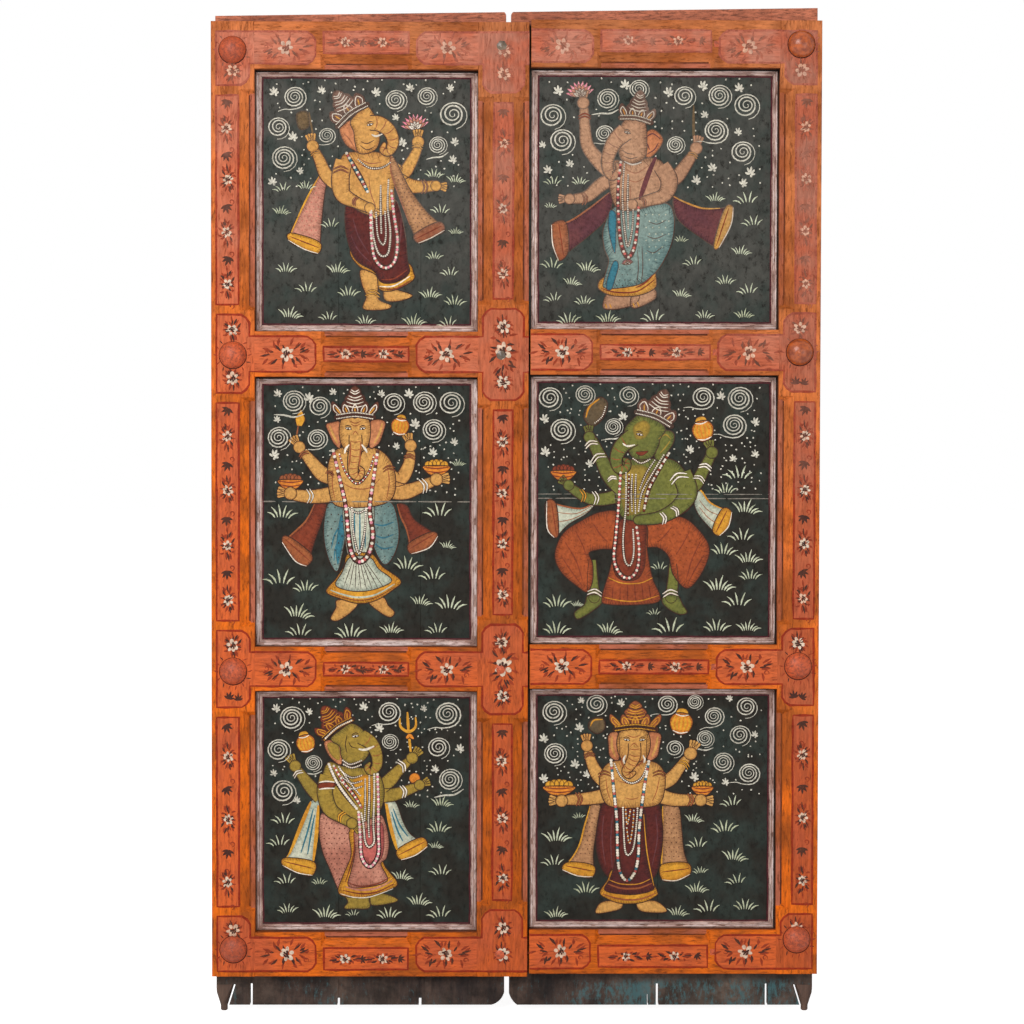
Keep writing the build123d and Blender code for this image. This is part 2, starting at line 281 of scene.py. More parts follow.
def worn_paint_group():
    """Brushed paint with patches, brush marks and spots worn to a deeper colour."""
    tree, given, result = shader_group(
        "worn_paint",
        [("Paint", COLOUR, WHITE), ("Patch", COLOUR, WHITE), ("Worn", COLOUR, WHITE),
         ("Brush", VECTOR, (1, 1, 1)), ("Patches", VALUE, 0.5), ("Wear", VALUE, 0.3)],
        [("Colour", COLOUR), ("Roughness", VALUE), ("Height", VALUE)],
    )
    place = node(tree, "ShaderNodeTexCoord").outputs["Object"]
    brushed = stretched(tree, place, given.outputs["Brush"])
    patches = ramped(tree, noisy(tree, place, 11, 5, 0.6), 0.42, 0.64)
    streaks = noisy(tree, brushed, 46, 6, 0.65)
    flakes = noisy(tree, stretched(tree, brushed, (2, 2, 2)), 34, 9, 0.78)
    worn = ramped(tree, plus(tree, flakes, times(tree, given.outputs["Wear"], 0.3)), 0.62, 0.74)
    patched = times(tree, patches, given.outputs["Patches"])
    colour = mixed(tree, patched, given.outputs["Paint"], given.outputs["Patch"])
    colour = toned(tree, colour, ramped(tree, streaks, 0.3, 0.7, 0.74, 1.18))
    colour = mixed(tree, times(tree, worn, 0.75), colour, given.outputs["Worn"])
    tree.links.new(colour, result.inputs["Colour"])
    tree.links.new(ramped(tree, flakes, 0.3, 0.75, 0.5, 0.82), result.inputs["Roughness"])
    height = maths(tree, "SUBTRACT", times(tree, streaks, 0.6), times(tree, worn, 0.8))
    tree.links.new(height, result.inputs["Height"])
    return tree


def door_place_group():
    """The dust at a place, more towards the top and the right, and how it faces and lies on the door."""
    tree, _, result = shader_group("door_place", [], [
        ("Dust", VALUE), ("Front", VALUE), ("Depth", VALUE), ("Across", VALUE),
    ])
    where = node(tree, "ShaderNodeTexCoord")
    axes = parts_of(tree, where.outputs["Object"])
    facing = parts_of(tree, where.outputs["Normal"])
    rise = plus(tree, times(tree, axes["Z"], 0.62), times(tree, axes["X"], 0.28))
    cloud = times(tree, noisy(tree, where.outputs["Object"], 5, 5, 0.6), 0.9)
    tree.links.new(ramped(tree, plus(tree, rise, cloud), 0.75, 1.75), result.inputs["Dust"])
    tree.links.new(times(tree, facing["Y"], -1.0), result.inputs["Front"])
    tree.links.new(maths(tree, "SUBTRACT", axes["Y"], face_y), result.inputs["Depth"])
    tree.links.new(axes["X"], result.inputs["Across"])
    return tree


def weathered_wood_group():
    """Long grain with dark pores in bare old wood."""
    tree, given, result = shader_group(
        "weathered_wood",
        [("Early", COLOUR, WHITE), ("Late", COLOUR, WHITE), ("Along", VECTOR, (1, 1, 1))],
        [("Colour", COLOUR), ("Height", VALUE)],
    )
    place = node(tree, "ShaderNodeTexCoord").outputs["Object"]
    along = stretched(tree, place, given.outputs["Along"])
    bands = noisy(tree, along, 26, 8, 0.7)
    pores = noisy(tree, stretched(tree, along, (3, 3, 1)), 60, 4, 0.6)
    colour = mixed(tree, ramped(tree, bands, 0.3, 0.7), given.outputs["Early"], given.outputs["Late"])
    colour = mixed(tree, ramped(tree, pores, 0.55, 0.75, 0, 0.5), colour, srgb(36, 26, 20))
    pale = ramped(tree, noisy(tree, place, 4, 4), 0.4, 0.7, 0, 0.35)
    colour = mixed(tree, pale, colour, srgb(120, 104, 90))
    planks = noisy(tree, stretched(tree, place, (1, 0, 0.05)), 7, 2)
    colour = toned(tree, colour, ramped(tree, planks, 0.35, 0.65, 0.7, 1.2))
    tree.links.new(colour, result.inputs["Colour"])
    tree.links.new(maths(tree, "SUBTRACT", bands, times(tree, pores, 0.6)), result.inputs["Height"])
    return tree


groups = {}


def placed_group(tree, name, **values):
    """Places a shared group in a material and gives it its own values."""
    builders = {
        "worn_paint": worn_paint_group,
        "door_place": door_place_group,
        "weathered_wood": weathered_wood_group,
    }
    if name not in groups:
        groups[name] = builders[name]()
    made = node(tree, "ShaderNodeGroup", node_tree=groups[name])
    for label, value in values.items():
        feed(tree, made.inputs[label], value)
    return made


def new_material(name):
    """A material with an empty Principled surface."""
    material = bpy.data.materials.new(name)
    material.use_nodes = True
    return material, material.node_tree, material.node_tree.nodes["Principled BSDF"]


def bump_from(tree, surface, height, distance):
    """Gives a surface small relief."""
    bump = node(tree, "ShaderNodeBump")
    bump.inputs["Strength"].default_value = 0.5
    bump.inputs["Distance"].default_value = distance
    tree.links.new(height, bump.inputs["Height"])
    tree.links.new(bump.outputs["Normal"], surface.inputs["Normal"])


def worn_paint(tree, paint, patch, worn, brush, patches, wear):
    """The colour, roughness and height of a coat of worn paint."""
    return placed_group(
        tree, "worn_paint", Paint=paint, Patch=patch, Worn=worn, Brush=brush, Patches=patches, Wear=wear,
    ).outputs


def bare_wood(tree, early, late, along):
    """The colour and height of weathered wood, with its grain stretched along."""
    return placed_group(tree, "weathered_wood", Early=early, Late=late, Along=along).outputs


def cover(tree, surface, paint, relief):
    """Covers a surface with a coat of paint."""
    tree.links.new(paint["Colour"], surface.inputs["Base Color"])
    tree.links.new(paint["Roughness"], surface.inputs["Roughness"])
    surface.inputs["Specular IOR Level"].default_value = 0.2
    bump_from(tree, surface, paint["Height"], relief)


UPRIGHT_BRUSH = (4, 4, 0.7)
LEVEL_BRUSH = (0.7, 4, 4)
DAB_BRUSH = (3, 3, 3)

materials = {}


def paint_material(name, paint, patch=None, worn=None, brush=DAB_BRUSH, patches=0.5, wear=0.3, dusty=None):
    """A paint as laid on with a brush. Patch and worn colours default to darker tones of the paint."""
    if name in materials:
        return materials[name]
    material, tree, surface = new_material(name)
    patch = patch or tuple(0.72 * part for part in paint)
    worn = worn or tuple(0.4 * part for part in paint)
    rim = node(tree, "ShaderNodeAttribute", attribute_name="edge").outputs["Fac"]
    shaded = mixed(tree, times(tree, rim, 0.75), tuple(paint), tuple(0.45 * part for part in patch))
    if dusty:
        dust = placed_group(tree, "door_place").outputs["Dust"]
        shaded = mixed(tree, ramped(tree, dust, 0.35, 1.0, 0.0, 0.65), shaded, tuple(dusty))
    cover(tree, surface, worn_paint(tree, shaded, tuple(patch), tuple(worn), brush, patches, wear), 0.3 * MM)
    materials[name] = material
    return material


def field_material(name, colours, brush, right_shade):
    """The paint of the frame's fields: orange, dusty pink towards the top, and shaded towards the right."""
    material, tree, surface = new_material(name)
    where = placed_group(tree, "door_place").outputs
    paint = mixed(tree, where["Dust"], tuple(colours.field_orange), tuple(colours.field_dusty))
    paint = toned(tree, paint, ramped(tree, where["Across"], -0.3, 0.1, 1.0, right_shade))
    paint = worn_paint(tree, paint, srgb(172, 78, 46), srgb(112, 46, 26), brush, 0.7, 0.3)
    cover(tree, surface, paint, 0.4 * MM)
    return material


# How deep the pink fillets lie behind the face of the frame, and from how deep the grooves and sides get
# painted shade: from and to.
FILLET_DEPTH = (5.5 * MM, 6.5 * MM)
GROOVE_DEPTH = (7.3 * MM, 8 * MM)


def frame_material(name, colours, brush):
    """The first coat on rails and uprights: ochre, with pink fillets, and painted shade in the grooves and on
    the sides.
    """
    material, tree, surface = new_material(name)
    where = placed_group(tree, "door_place").outputs
    paint = mixed(tree, where["Dust"], tuple(colours.ochre), tuple(colours.ochre_dusty))
    from_middle = maths(tree, "ABSOLUTE", where["Across"])
    paint = toned(tree, paint, ramped(tree, from_middle, 0.1, 0.5, 0.86, 1.12))
    flat = ramped(tree, where["Front"], 0.93, 0.97)
    sides = ramped(tree, where["Front"], 0.5, 0.3)
    deep = ramped(tree, where["Depth"], *FILLET_DEPTH)
    deeper = ramped(tree, where["Depth"], *GROOVE_DEPTH)
    paint = mixed(tree, times(tree, flat, deep), paint, tuple(colours.fillet_pink))
    # Painted shade: the grooves and the sides that lie deeper than the fillets turn dark brown.
    dark = times(tree, deeper, maths(tree, "MAXIMUM", flat, sides))
    paint = mixed(tree, times(tree, dark, 0.9), paint, tuple(colours.groove_and_side_shade))
    paint = worn_paint(tree, paint, srgb(138, 66, 14), srgb(88, 38, 12), brush, 0.75, 0.36)
    cover(tree, surface, paint, 0.5 * MM)
    return material


def board_material(colours):
    """Boards: dark painted ground in front, worn feet and heads, bare wood behind."""
    material, tree, surface = new_material("painted_boards")
    place = node(tree, "ShaderNodeTexCoord").outputs["Object"]
    across, _, height = parts_of(tree, place)
    front = ramped(tree, placed_group(tree, "door_place").outputs["Front"], 0.4, 0.6)

    faded = ramped(tree, plus(tree, height, times(tree, across, 0.12)), 1.1, 1.45)
    ground = mixed(tree, faded, tuple(colours.ground_green), tuple(colours.ground_grey))
    ground = worn_paint(tree, ground, srgb(42, 52, 47), srgb(20, 17, 13), (1.5, 1.5, 1), 0.75, 0.32)
    wood = bare_wood(tree, srgb(112, 84, 62), srgb(74, 52, 38), (1, 1, 0.06))
    foot_wood = bare_wood(tree, srgb(78, 62, 54), srgb(32, 26, 26), (1, 1, 0.2))
    teal_specks = noisy(tree, stretched(tree, place, (5, 1, 2)), 30, 8, 0.8)
    teal = plus(tree, teal_specks, times(tree, noisy(tree, place, 7, 3, 0.6), 0.6))
    teal = plus(tree, teal, ramped(tree, across, -0.5, 0.5, -0.07, 0.06))
    teal = times(tree, ramped(tree, teal, 0.82, 0.98), ramped(tree, height, 0.066, 0.05))
    stain = ramped(tree, noisy(tree, place, 26, 6, 0.7), 0.35, 0.65, 0.5, 1.25)
    foot = mixed(tree, times(tree, teal, 0.7), toned(tree, foot_wood["Colour"], stain), srgb(66, 104, 108))
    head = worn_paint(tree, srgb(186, 110, 82), srgb(150, 84, 62), srgb(84, 50, 38), LEVEL_BRUSH, 0.7, 0.5)
    below = ramped(tree, height, frame_foot + 4 * MM, frame_foot - 2 * MM)
    above = ramped(tree, height, frame_head - 4 * MM, frame_head)
    colour = mixed(tree, above, mixed(tree, below, ground["Colour"], foot), head["Colour"])
    tree.links.new(mixed(tree, front, wood["Colour"], colour), surface.inputs["Base Color"])
    tree.links.new(ground["Roughness"], surface.inputs["Roughness"])
    surface.inputs["Specular IOR Level"].default_value = 0.15
    bump_from(tree, surface, mixed(tree, front, wood["Height"], ground["Height"]), 0.5 * MM)
    return material


def peg_material():
    """Bare dark wood of the pegs."""
    material, tree, surface = new_material("peg_wood")
    wood = bare_wood(tree, srgb(104, 80, 68), srgb(56, 42, 38), (2, 2, 0.2))
    tree.links.new(wood["Colour"], surface.inputs["Base Color"])
    surface.inputs["Roughness"].default_value = 0.8
    surface.inputs["Specular IOR Level"].default_value = 0.2
    bump_from(tree, surface, wood["Height"], 0.8 * MM)
    return material


def iron_material(name, painted_below, bright=srgb(182, 88, 36), dark=srgb(120, 50, 20)):
    """Old iron, bare and rubbed or painted over in orange below a height on the door."""
    material, tree, surface = new_material(name)
    place = node(tree, "ShaderNodeTexCoord").outputs["Object"]
    _, depth, height = parts_of(tree, place)
    rust = noisy(tree, place, 90, 8, 0.7)
    rusted = ramped(tree, rust, 0.35, 0.65)
    orange = worn_paint(tree, srgb(196, 84, 40), srgb(158, 66, 34), srgb(104, 44, 26), DAB_BRUSH, 0.7, 0.5)
    low = ramped(tree, height, painted_below + 10 * MM, painted_below - 10 * MM)
    painted = times(tree, low, ramped(tree, depth, 5 * MM, 0))
    colour = mixed(tree, painted, mixed(tree, rusted, bright, dark), orange["Colour"])
    bare = mixed(tree, rusted, srgb(98, 72, 54), srgb(58, 44, 36))
    behind = ramped(tree, depth, 10 * MM, 14 * MM)
    tree.links.new(mixed(tree, behind, colour, bare), surface.inputs["Base Color"])
    gloss = ramped(tree, rust, 0.3, 0.7, 0.2, 0.36)
    tree.links.new(plus(tree, gloss, times(tree, painted, 0.25)), surface.inputs["Roughness"])
    surface.inputs["Specular IOR Level"].default_value = 0.45
    bump_from(tree, surface, rust, 0.6 * MM)
    return material


# Painted shapes.


def pairs_round(points):
    """Each point of a closed line with the next one."""
    return zip(points, points[1:] + points[:1])


def turned_area(outline):
    """Twice the area inside an outline, below 0 where it turns to the right."""
    return sum(a[0] * b[1] - b[0] * a[1] for a, b in pairs_round(outline))


def towards(u, v, angle, far):
    """The point that lies so far from another at an angle."""
    return u + far * math.cos(angle), v + far * math.sin(angle)


def circle(u, v, radius, count=10):
    """Points round a circle."""
    return [towards(u, v, math.tau * k / count, radius) for k in range(count)]


def rounded(points, closed, steps=6):
    """Points along a smooth curve through the given ones."""
    count = len(points)
    ends = range(count if closed else count - 1)
    line = []
    for i in ends:
        before, start, end, after = (
            points[(i + k) % count] if closed else points[min(max(i + k, 0), count - 1)]
            for k in (-1, 0, 1, 2)
        )
        for step in range(steps):
            t = step / steps
            line.append(tuple(
                0.5 * (2 * b + (c - a) * t
                       + (2 * a - 5 * b + 4 * c - d) * t**2 + (3 * b - a - 3 * c + d) * t**3)
                for a, b, c, d in zip(before, start, end, after)
            ))
    if not closed:
        line.append(tuple(points[-1]))
    return line


def drawn_in(outline, distance):
    """An outline that turns to the left, drawn in by a distance all round, or by less where it is narrow."""
    points = np.array(outline)
    side = np.roll(points, -1, axis=0) - points
    along = np.roll(points, -1, axis=0) - np.roll(points, 1, axis=0)
    along /= np.maximum(np.linalg.norm(along, axis=1, keepdims=True), 1e-9)
    inward = np.stack([-along[:, 1], along[:, 0]], axis=1)
    start = points[None] - points[:, None]
    cross = inward[:, None, 0] * side[None, :, 1] - inward[:, None, 1] * side[None, :, 0]
    cross[abs(cross) < 1e-12] = 1e-12
    far = (start[..., 0] * side[None, :, 1] - start[..., 1] * side[None, :, 0]) / cross
    share = (start[..., 0] * inward[:, None, 1] - start[..., 1] * inward[:, None, 0]) / cross
    far[(far < 1e-6) | (share < -0.01) | (share > 1.01)] = np.inf
    depth = np.minimum(distance, 0.4 * far.min(axis=1))
    depth = np.min([np.roll(depth, shift) for shift in range(-2, 3)], axis=0)
    for _ in range(12):
        inner = points + inward * depth[:, None]
        folded = ((np.roll(inner, -1, axis=0) - inner) * side).sum(axis=1) < 0.1 * (side * side).sum(axis=1)
        near_fold = np.any([np.roll(folded, shift) for shift in range(-2, 4)], axis=0)
        depth = np.where(near_fold, 0.6 * depth, depth)
    return inner.tolist()


class Painting:
    """Gathers painted shapes into one mesh, with a slot for each paint."""

    def __init__(self, name, surface_y, height=coat):
        self.name = name
        self.surface_y = surface_y
        self.height = height
        self.mesh = bmesh.new()
        self.edge = self.mesh.verts.layers.float.new("edge")
        self.paints = []

    def slot(self, paint):
        """The number of a paint's slot."""
        if paint not in self.paints:
            self.paints.append(paint)
        return self.paints.index(paint)

    def face(self, corners, slot):
        """One face of the mesh."""
        made = self.mesh.faces.new(corners)
        made.material_index = slot

    def field(self, paint, outline, level, taper=1.0, rim=0.0):
        """A flat field of paint inside an outline, from the surface to a level of coats.

        It tapers towards its middle, and within the rim of its outline it is marked for shading.
        """
        if turned_area(outline) < 0:
            outline = outline[::-1]
        slot = self.slot(paint)
        front_y = self.surface_y - level * self.height
        back_y = self.surface_y + self.height
        mid_x, mid_z = (sum(point[axis] for point in outline) / len(outline) for axis in (0, 1))
        fronts = [
            self.mesh.verts.new((mid_x + taper * (x - mid_x), front_y, mid_z + taper * (z - mid_z)))
            for x, z in outline
        ]
        backs = [self.mesh.verts.new((x, back_y, z)) for x, z in outline]
        inner = fronts
        if rim:
            inner = [self.mesh.verts.new((x, front_y, z)) for x, z in drawn_in(outline, rim)]
            for corner in fronts:
                corner[self.edge] = 1
        self.face(inner, slot)
        self.face(backs[::-1], slot)
        for i in range(len(outline)):
            k = (i + 1) % len(outline)
            self.face((fronts[i], backs[i], backs[k], fronts[k]), slot)
            if rim:
                self.face((inner[i], fronts[i], fronts[k], inner[k]), slot)

    def ribbon(self, paint, rows, level, rim):
        """A long field of paint between left and right edges in rows. Its far end lies a little higher."""
        slot = self.slot(paint)
        rings = []
        for k, (left, right) in enumerate(rows):
            front_y = self.surface_y - (level + 0.2 * k / len(rows)) * self.height
            share = min(0.4, rim / max(math.dist(left, right), 1e-6))
            ring = []
            for part, shaded in ((0, 1), (share, 0), (1 - share, 0), (1, 1)):
                x, z = (a + (b - a) * part for a, b in zip(left, right))
                ring.append(self.mesh.verts.new((x, front_y, z)))
                ring[-1][self.edge] = shaded if k > 2 else 0
            ring += [self.mesh.verts.new((x, self.surface_y + self.height, z)) for x, z in (right, left)]
            rings.append(ring)
        self.tube(rings, slot)

    def tube(self, rings, slot, closed=False):
        """Faces between rings of corners, with ends unless it is closed."""
        corners = len(rings[0])
        for near, far in zip(rings, rings[1:] + rings[:1] if closed else rings[1:]):
            for a in range(corners):
                b = (a + 1) % corners
                self.face((near[a], near[b], far[b], far[a]), slot)
        if not closed:
            self.face(rings[0][::-1], slot)
            self.face(rings[-1], slot)

    def stroke(self, paint, line, width, level, closed=False, drop=1.0):
        """A stroke of paint along a line, of one width or changing widths, with edges dropped by coats."""
        slot = self.slot(paint)
        count = len(line)
        widths = width if isinstance(width, (list, tuple)) else [width] * count
        low_y = self.surface_y - (level - drop) * self.height
        high_y = self.surface_y - (level + 0.2) * self.height
        rings = []
        for i, (x, z) in enumerate(line):
            back = line[(i - 1) % count] if closed else line[max(i - 1, 0)]
            on = line[(i + 1) % count] if closed else line[min(i + 1, count - 1)]
            along = Vector((on[0] - back[0], on[1] - back[1]))
            along = along.normalized() if along.length > 0 else Vector((1, 0))
            side = Vector((-along.y, along.x)) * widths[i] / 2
            rings.append([
                self.mesh.verts.new((x + share * side.x, y, z + share * side.y))
                for share, y in ((1, low_y), (0.6, high_y), (-0.6, high_y), (-1, low_y))
            ])
        self.tube(rings, slot, closed)

    def add_mesh(self, mesh, paint):
        """Takes in a finished mesh in one paint."""
        slot = self.slot(paint)
        before = len(self.mesh.faces)
        self.mesh.from_mesh(mesh)
        self.mesh.faces.ensure_lookup_table()
        for made in self.mesh.faces[before:]:
            made.material_index = slot

    def plain_mesh(self):
        """The gathered shapes as a mesh, with fields of many corners cut into triangles."""
        self.mesh.normal_update()
        bmesh.ops.triangulate(self.mesh, faces=[f for f in self.mesh.faces if len(f.verts) > 4])
        mesh = bpy.data.meshes.new(self.name)
        self.mesh.to_mesh(mesh)
        self.mesh.free()
        return mesh

    def finish(self, body, slot):
        """Makes the object, on its body."""
        made = bpy.data.objects.new(self.name, self.plain_mesh())
        for paint in self.paints:
            made.data.materials.append(paint)
        bpy.context.scene.collection.objects.link(made)
        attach(made, body)
        return made


# Stamped motifs.


def stamping_tree():
    """Geometry nodes that stamp a motif on points, at each point's own size and turn."""
    tree = bpy.data.node_groups.new("stamped_motif", "GeometryNodeTree")
    tree.interface.new_socket("Places", in_out="INPUT", socket_type="NodeSocketGeometry")
    tree.interface.new_socket("Motif", in_out="INPUT", socket_type="NodeSocketObject")
    tree.interface.new_socket("Paint", in_out="INPUT", socket_type="NodeSocketMaterial")
    tree.interface.new_socket("Stamped", in_out="OUTPUT", socket_type="NodeSocketGeometry")
    given = node(tree, "NodeGroupInput")
    result = node(tree, "NodeGroupOutput")
    motif = node(tree, "GeometryNodeObjectInfo")
    points = node(tree, "GeometryNodeMeshToPoints")
    stamp = node(tree, "GeometryNodeInstanceOnPoints")
    size = node(tree, "GeometryNodeInputNamedAttribute", data_type="FLOAT")
    size.inputs["Name"].default_value = "size"
    turn = node(tree, "GeometryNodeInputNamedAttribute", data_type="FLOAT")
    turn.inputs["Name"].default_value = "turn"
    axes = node(tree, "ShaderNodeCombineXYZ")
    rotation = node(tree, "FunctionNodeEulerToRotation")
    real = node(tree, "GeometryNodeRealizeInstances")
    painted = node(tree, "GeometryNodeSetMaterial")
    for source, output, target, socket in (
        (given, "Places", points, "Mesh"),
        (given, "Motif", motif, "Object"),
        (points, "Points", stamp, "Points"),
        (motif, "Geometry", stamp, "Instance"),
        (turn, "Attribute", axes, "Y"),
        (axes, "Vector", rotation, "Euler"),
        (rotation, "Rotation", stamp, "Rotation"),
        (size, "Attribute", stamp, "Scale"),
        (stamp, "Instances", real, "Geometry"),
        (real, "Geometry", painted, "Geometry"),
        (given, "Paint", painted, "Material"),
        (painted, "Geometry", result, "Stamped"),
    ):
        tree.links.new(source.outputs[output], target.inputs[socket])
    return tree


motifs = {}
trees = {}


def motif_object(name, draw, height=0.012):
    """A motif about one unit across and as thick as the height says, drawn once and kept out of the scene."""
    if name not in motifs:
        painting = Painting(name, 0, height)
        draw(painting)
        motifs[name] = bpy.data.objects.new(name, painting.plain_mesh())
    return motifs[name]


def stamped(motif, paint, places, y):
    """A plain mesh of a motif stamped at places, each as across, up, size and turn."""
    if "stamp" not in trees:
        trees["stamp"] = stamping_tree()
    mesh = bpy.data.meshes.new("places")
    mesh.from_pydata([(x, y, z) for x, z, size, turn in places], [], [])
    for name, column in (("size", 2), ("turn", 3)):
        values = mesh.attributes.new(name, "FLOAT", "POINT")
        values.data.foreach_set("value", [place[column] for place in places])
    carrier = bpy.data.objects.new("places", mesh)
    modifier = carrier.modifiers.new("stamped_motif", "NODES")
    modifier.node_group = trees["stamp"]
    chosen = {"Motif": motif, "Paint": paint}
    for item in trees["stamp"].interface.items_tree:
        if item.name in chosen:
            modifier[item.identifier] = chosen[item.name]
    collection = bpy.context.scene.collection
    collection.objects.link(carrier)
    collection.objects.link(motif)
    depsgraph = bpy.context.evaluated_depsgraph_get()
    result = bpy.data.meshes.new_from_object(carrier.evaluated_get(depsgraph), depsgraph=depsgraph)
    collection.objects.unlink(motif)
    bpy.data.objects.remove(carrier)
    return result


def draw_petals(painting):
    """Uneven white dabs round the heart of a flower."""
    dice = random.Random(5)
    for k in range(6):
        turn = math.tau * (k + dice.uniform(-0.2, 0.2)) / 6
        far = dice.uniform(0.26, 0.36)
        x, z = towards(0, 0, turn, far)
        long, wide = dice.uniform(0.17, 0.24), dice.uniform(0.12, 0.17)
        outline = []
        for a in (math.tau * step / 8 for step in range(8)):
            across, out = wide * math.sin(a), long * math.cos(a)
            outline.append((x + out * math.cos(turn) - across * math.sin(turn),
                            z + out * math.sin(turn) + across * math.cos(turn)))
        painting.field("petal", outline, 1 + 0.08 * k)


def draw_hearts(painting):
    """The dark dabs in the heart of a flower."""
    dice = random.Random(8)
    for k in range(5):
        turn = math.tau * k / 5 + 0.9
        far = 0.17 if k else 0.02
        x, z = towards(0, 0, turn, far)
        long, wide = dice.uniform(0.1, 0.17), dice.uniform(0.06, 0.1)
        outline = [(x + long * u, z + wide * v) for u, v in circle(0, 0, 1, 6)]
        painting.field("heart", outline, 2 + 0.08 * k)


# How far brush strokes spread from a flower along its field and across it, in flower sizes, and their scale.
spray_reach = {
    "block": (2.8, 1.1, 1.3),
    "upright": (1.35, 0.62, 1.0),
    "tight": (0.85, 0.75, 1.0),
    "slim": (1.75, 0.4, 1.1),
}


def spray_drawing(kind, count, near, seed):
    """A drawing of short bent brush strokes round a flower."""
    along, across, stroke = spray_reach[kind]

    def draw(painting):
        dice = random.Random(seed)
        for k in range(count):
            angle = math.tau * (k + dice.uniform(0.1, 0.9)) / count
            start = dice.uniform(near, near + 0.45)
            way = angle + dice.uniform(-0.55, 0.55)
            length = stroke * dice.uniform(0.4, 0.75)
            bend = dice.uniform(-0.2, 0.2)
            line = []
            for t in (0, 0.5, 1):
                out, aside = length * t, bend * t * t
                line.append((along * start * math.cos(angle) + out * math.cos(way) - aside * math.sin(way),
                             across * start * math.sin(angle)
                             + min(1, across) * (out * math.sin(way) + aside * math.cos(way))))
            widths = [0.08 * stroke, stroke * dice.uniform(0.16, 0.27), 0.05]
            painting.stroke("spray", line, widths, 1 + 0.05 * k)
    return draw


def draw_leaf_tuft(painting):
    """A dark clump of short leaves."""
    for k, (turn, length) in enumerate(((-1.3, 0.5), (-0.7, 0.62), (-0.1, 0.7), (0.5, 0.6), (1.2, 0.5))):
        line = [(math.cos(turn) * length * t - 0.25, math.sin(turn) * length * t) for t in (0, 0.35, 0.7, 1)]
        painting.stroke("leaf", line, [0.12, 0.22, 0.17, 0.02], 1 + 0.05 * k)


def draw_scroll(painting):
    """A thin curl beside the leaves."""
    line = [
        (0.75 + 0.3 * math.cos(a) * (1 - a / 9), 0.32 * math.sin(a) * (1 - a / 9))
        for a in (0.5 * step for step in range(13))
    ]
    painting.stroke("scroll", line, [0.05 + 0.09 * math.sin(math.pi * k / 12) for k in range(13)], 1)


def spiral_drawing(turns, tail):
    """A drawing of a chalk spiral, with its tail running out to the left or lying apart below it."""
    def draw(painting):
        steps = 56
        line = []
        for step in range(steps + 1):
            share = step / steps
            angle = UP + math.tau * turns * (1 - share)
            radius = (0.04 + 0.46 * share) * (1 + 0.07 * math.sin(4.3 * share * math.tau))
            line.append((1.05 * radius * math.cos(angle), radius * math.sin(angle)))
        if tail == "joined":
            line += rounded([line[-1], (-0.3, -0.52), (-0.55, -0.46), (-0.85, -0.5)], False, 4)[1:]
        count = len(line) - 1
        widths = [0.028 + 0.034 * math.sin(math.pi * (k / count) ** 1.5) for k in range(count + 1)]
        painting.stroke("chalk", line, widths, 1)
        if tail == "apart":
            wave = rounded([(-0.75, -0.66), (-0.35, -0.63), (0.1, -0.66), (0.5, -0.48)], False, 4)
            painting.stroke("chalk", wave, [0.03 + 0.05 * math.sin(math.pi * k / 12) for k in range(13)], 1)
    return draw


def draw_sprig(painting):
    """A small chalk bud of uneven dabs."""
    dice = random.Random(3)
    dabs = ((-1.2, 0.55), (-0.5, 0.75), (0.1, 0.8), (0.6, 0.65), (1.3, 0.5), (2.6, 0.3))
    for k, (turn, length) in enumerate(dabs):
        turn += dice.uniform(-0.15, 0.15)
        line = [
            (math.sin(turn) * length * t, -0.2 + math.cos(turn) * length * t) for t in (0.1, 0.45, 0.8, 1)
        ]
        painting.stroke("chalk", line, [0.08, 0.22, 0.2, 0.05], 1 + 0.05 * k)


def draw_dot(painting):
    """A round chalk dot."""
    painting.field("chalk", [(0.5 * u, 0.4 * v) for u, v in circle(0, 0, 1, 6)], 1)


def tuft_drawing(blades, lean, seed):
    """A drawing of a tuft of grass: blades side by side that rise and bend outwards."""
    def draw(painting):
        dice = random.Random(seed)
        for k in range(blades):
            side = 2 * k / (blades - 1) - 1 + lean
            x, z = 0.26 * side, -0.34 + 0.04 * (1 - side * side)
            length = dice.uniform(0.5, 0.68) * (1 - 0.25 * abs(side))
            line = [(x, z)]
            for t in (0.17, 0.5, 0.83):
                turn = side * (0.35 + 1.15 * t)
                x += math.sin(turn) * length / 3
                z += 0.86 * math.cos(turn) * length / 3
                line.append((x, z))
            painting.stroke("grass", line, [0.03, 0.07, 0.06, 0.015], 1 + 0.05 * k)
    return draw


# The stage.


def aimed(made, target):
    """Turns a lamp or camera towards a point."""
    made.rotation_euler = (Vector(target) - made.location).to_track_quat("-Z", "Y").to_euler()


def area_lamp(name, place, target, size, power):
    """A soft square lamp."""
    lamp = bpy.data.lights.new(name, "AREA")
    lamp.shape = "SQUARE"
    lamp.size = size
    lamp.energy = power
    made = bpy.data.objects.new(name, lamp)
    bpy.context.scene.collection.objects.link(made)
    made.location = place
    aimed(made, target)


def seen_directly(tree):
    """1 for rays from the camera and rays seen in gloss or glass, otherwise 0."""
    path = node(tree, "ShaderNodeLightPath")
    seen = maths(tree, "MAXIMUM", path.outputs["Is Camera Ray"], path.outputs["Is Glossy Ray"])
    return maths(tree, "MAXIMUM", seen, path.outputs["Is Transmission Ray"])


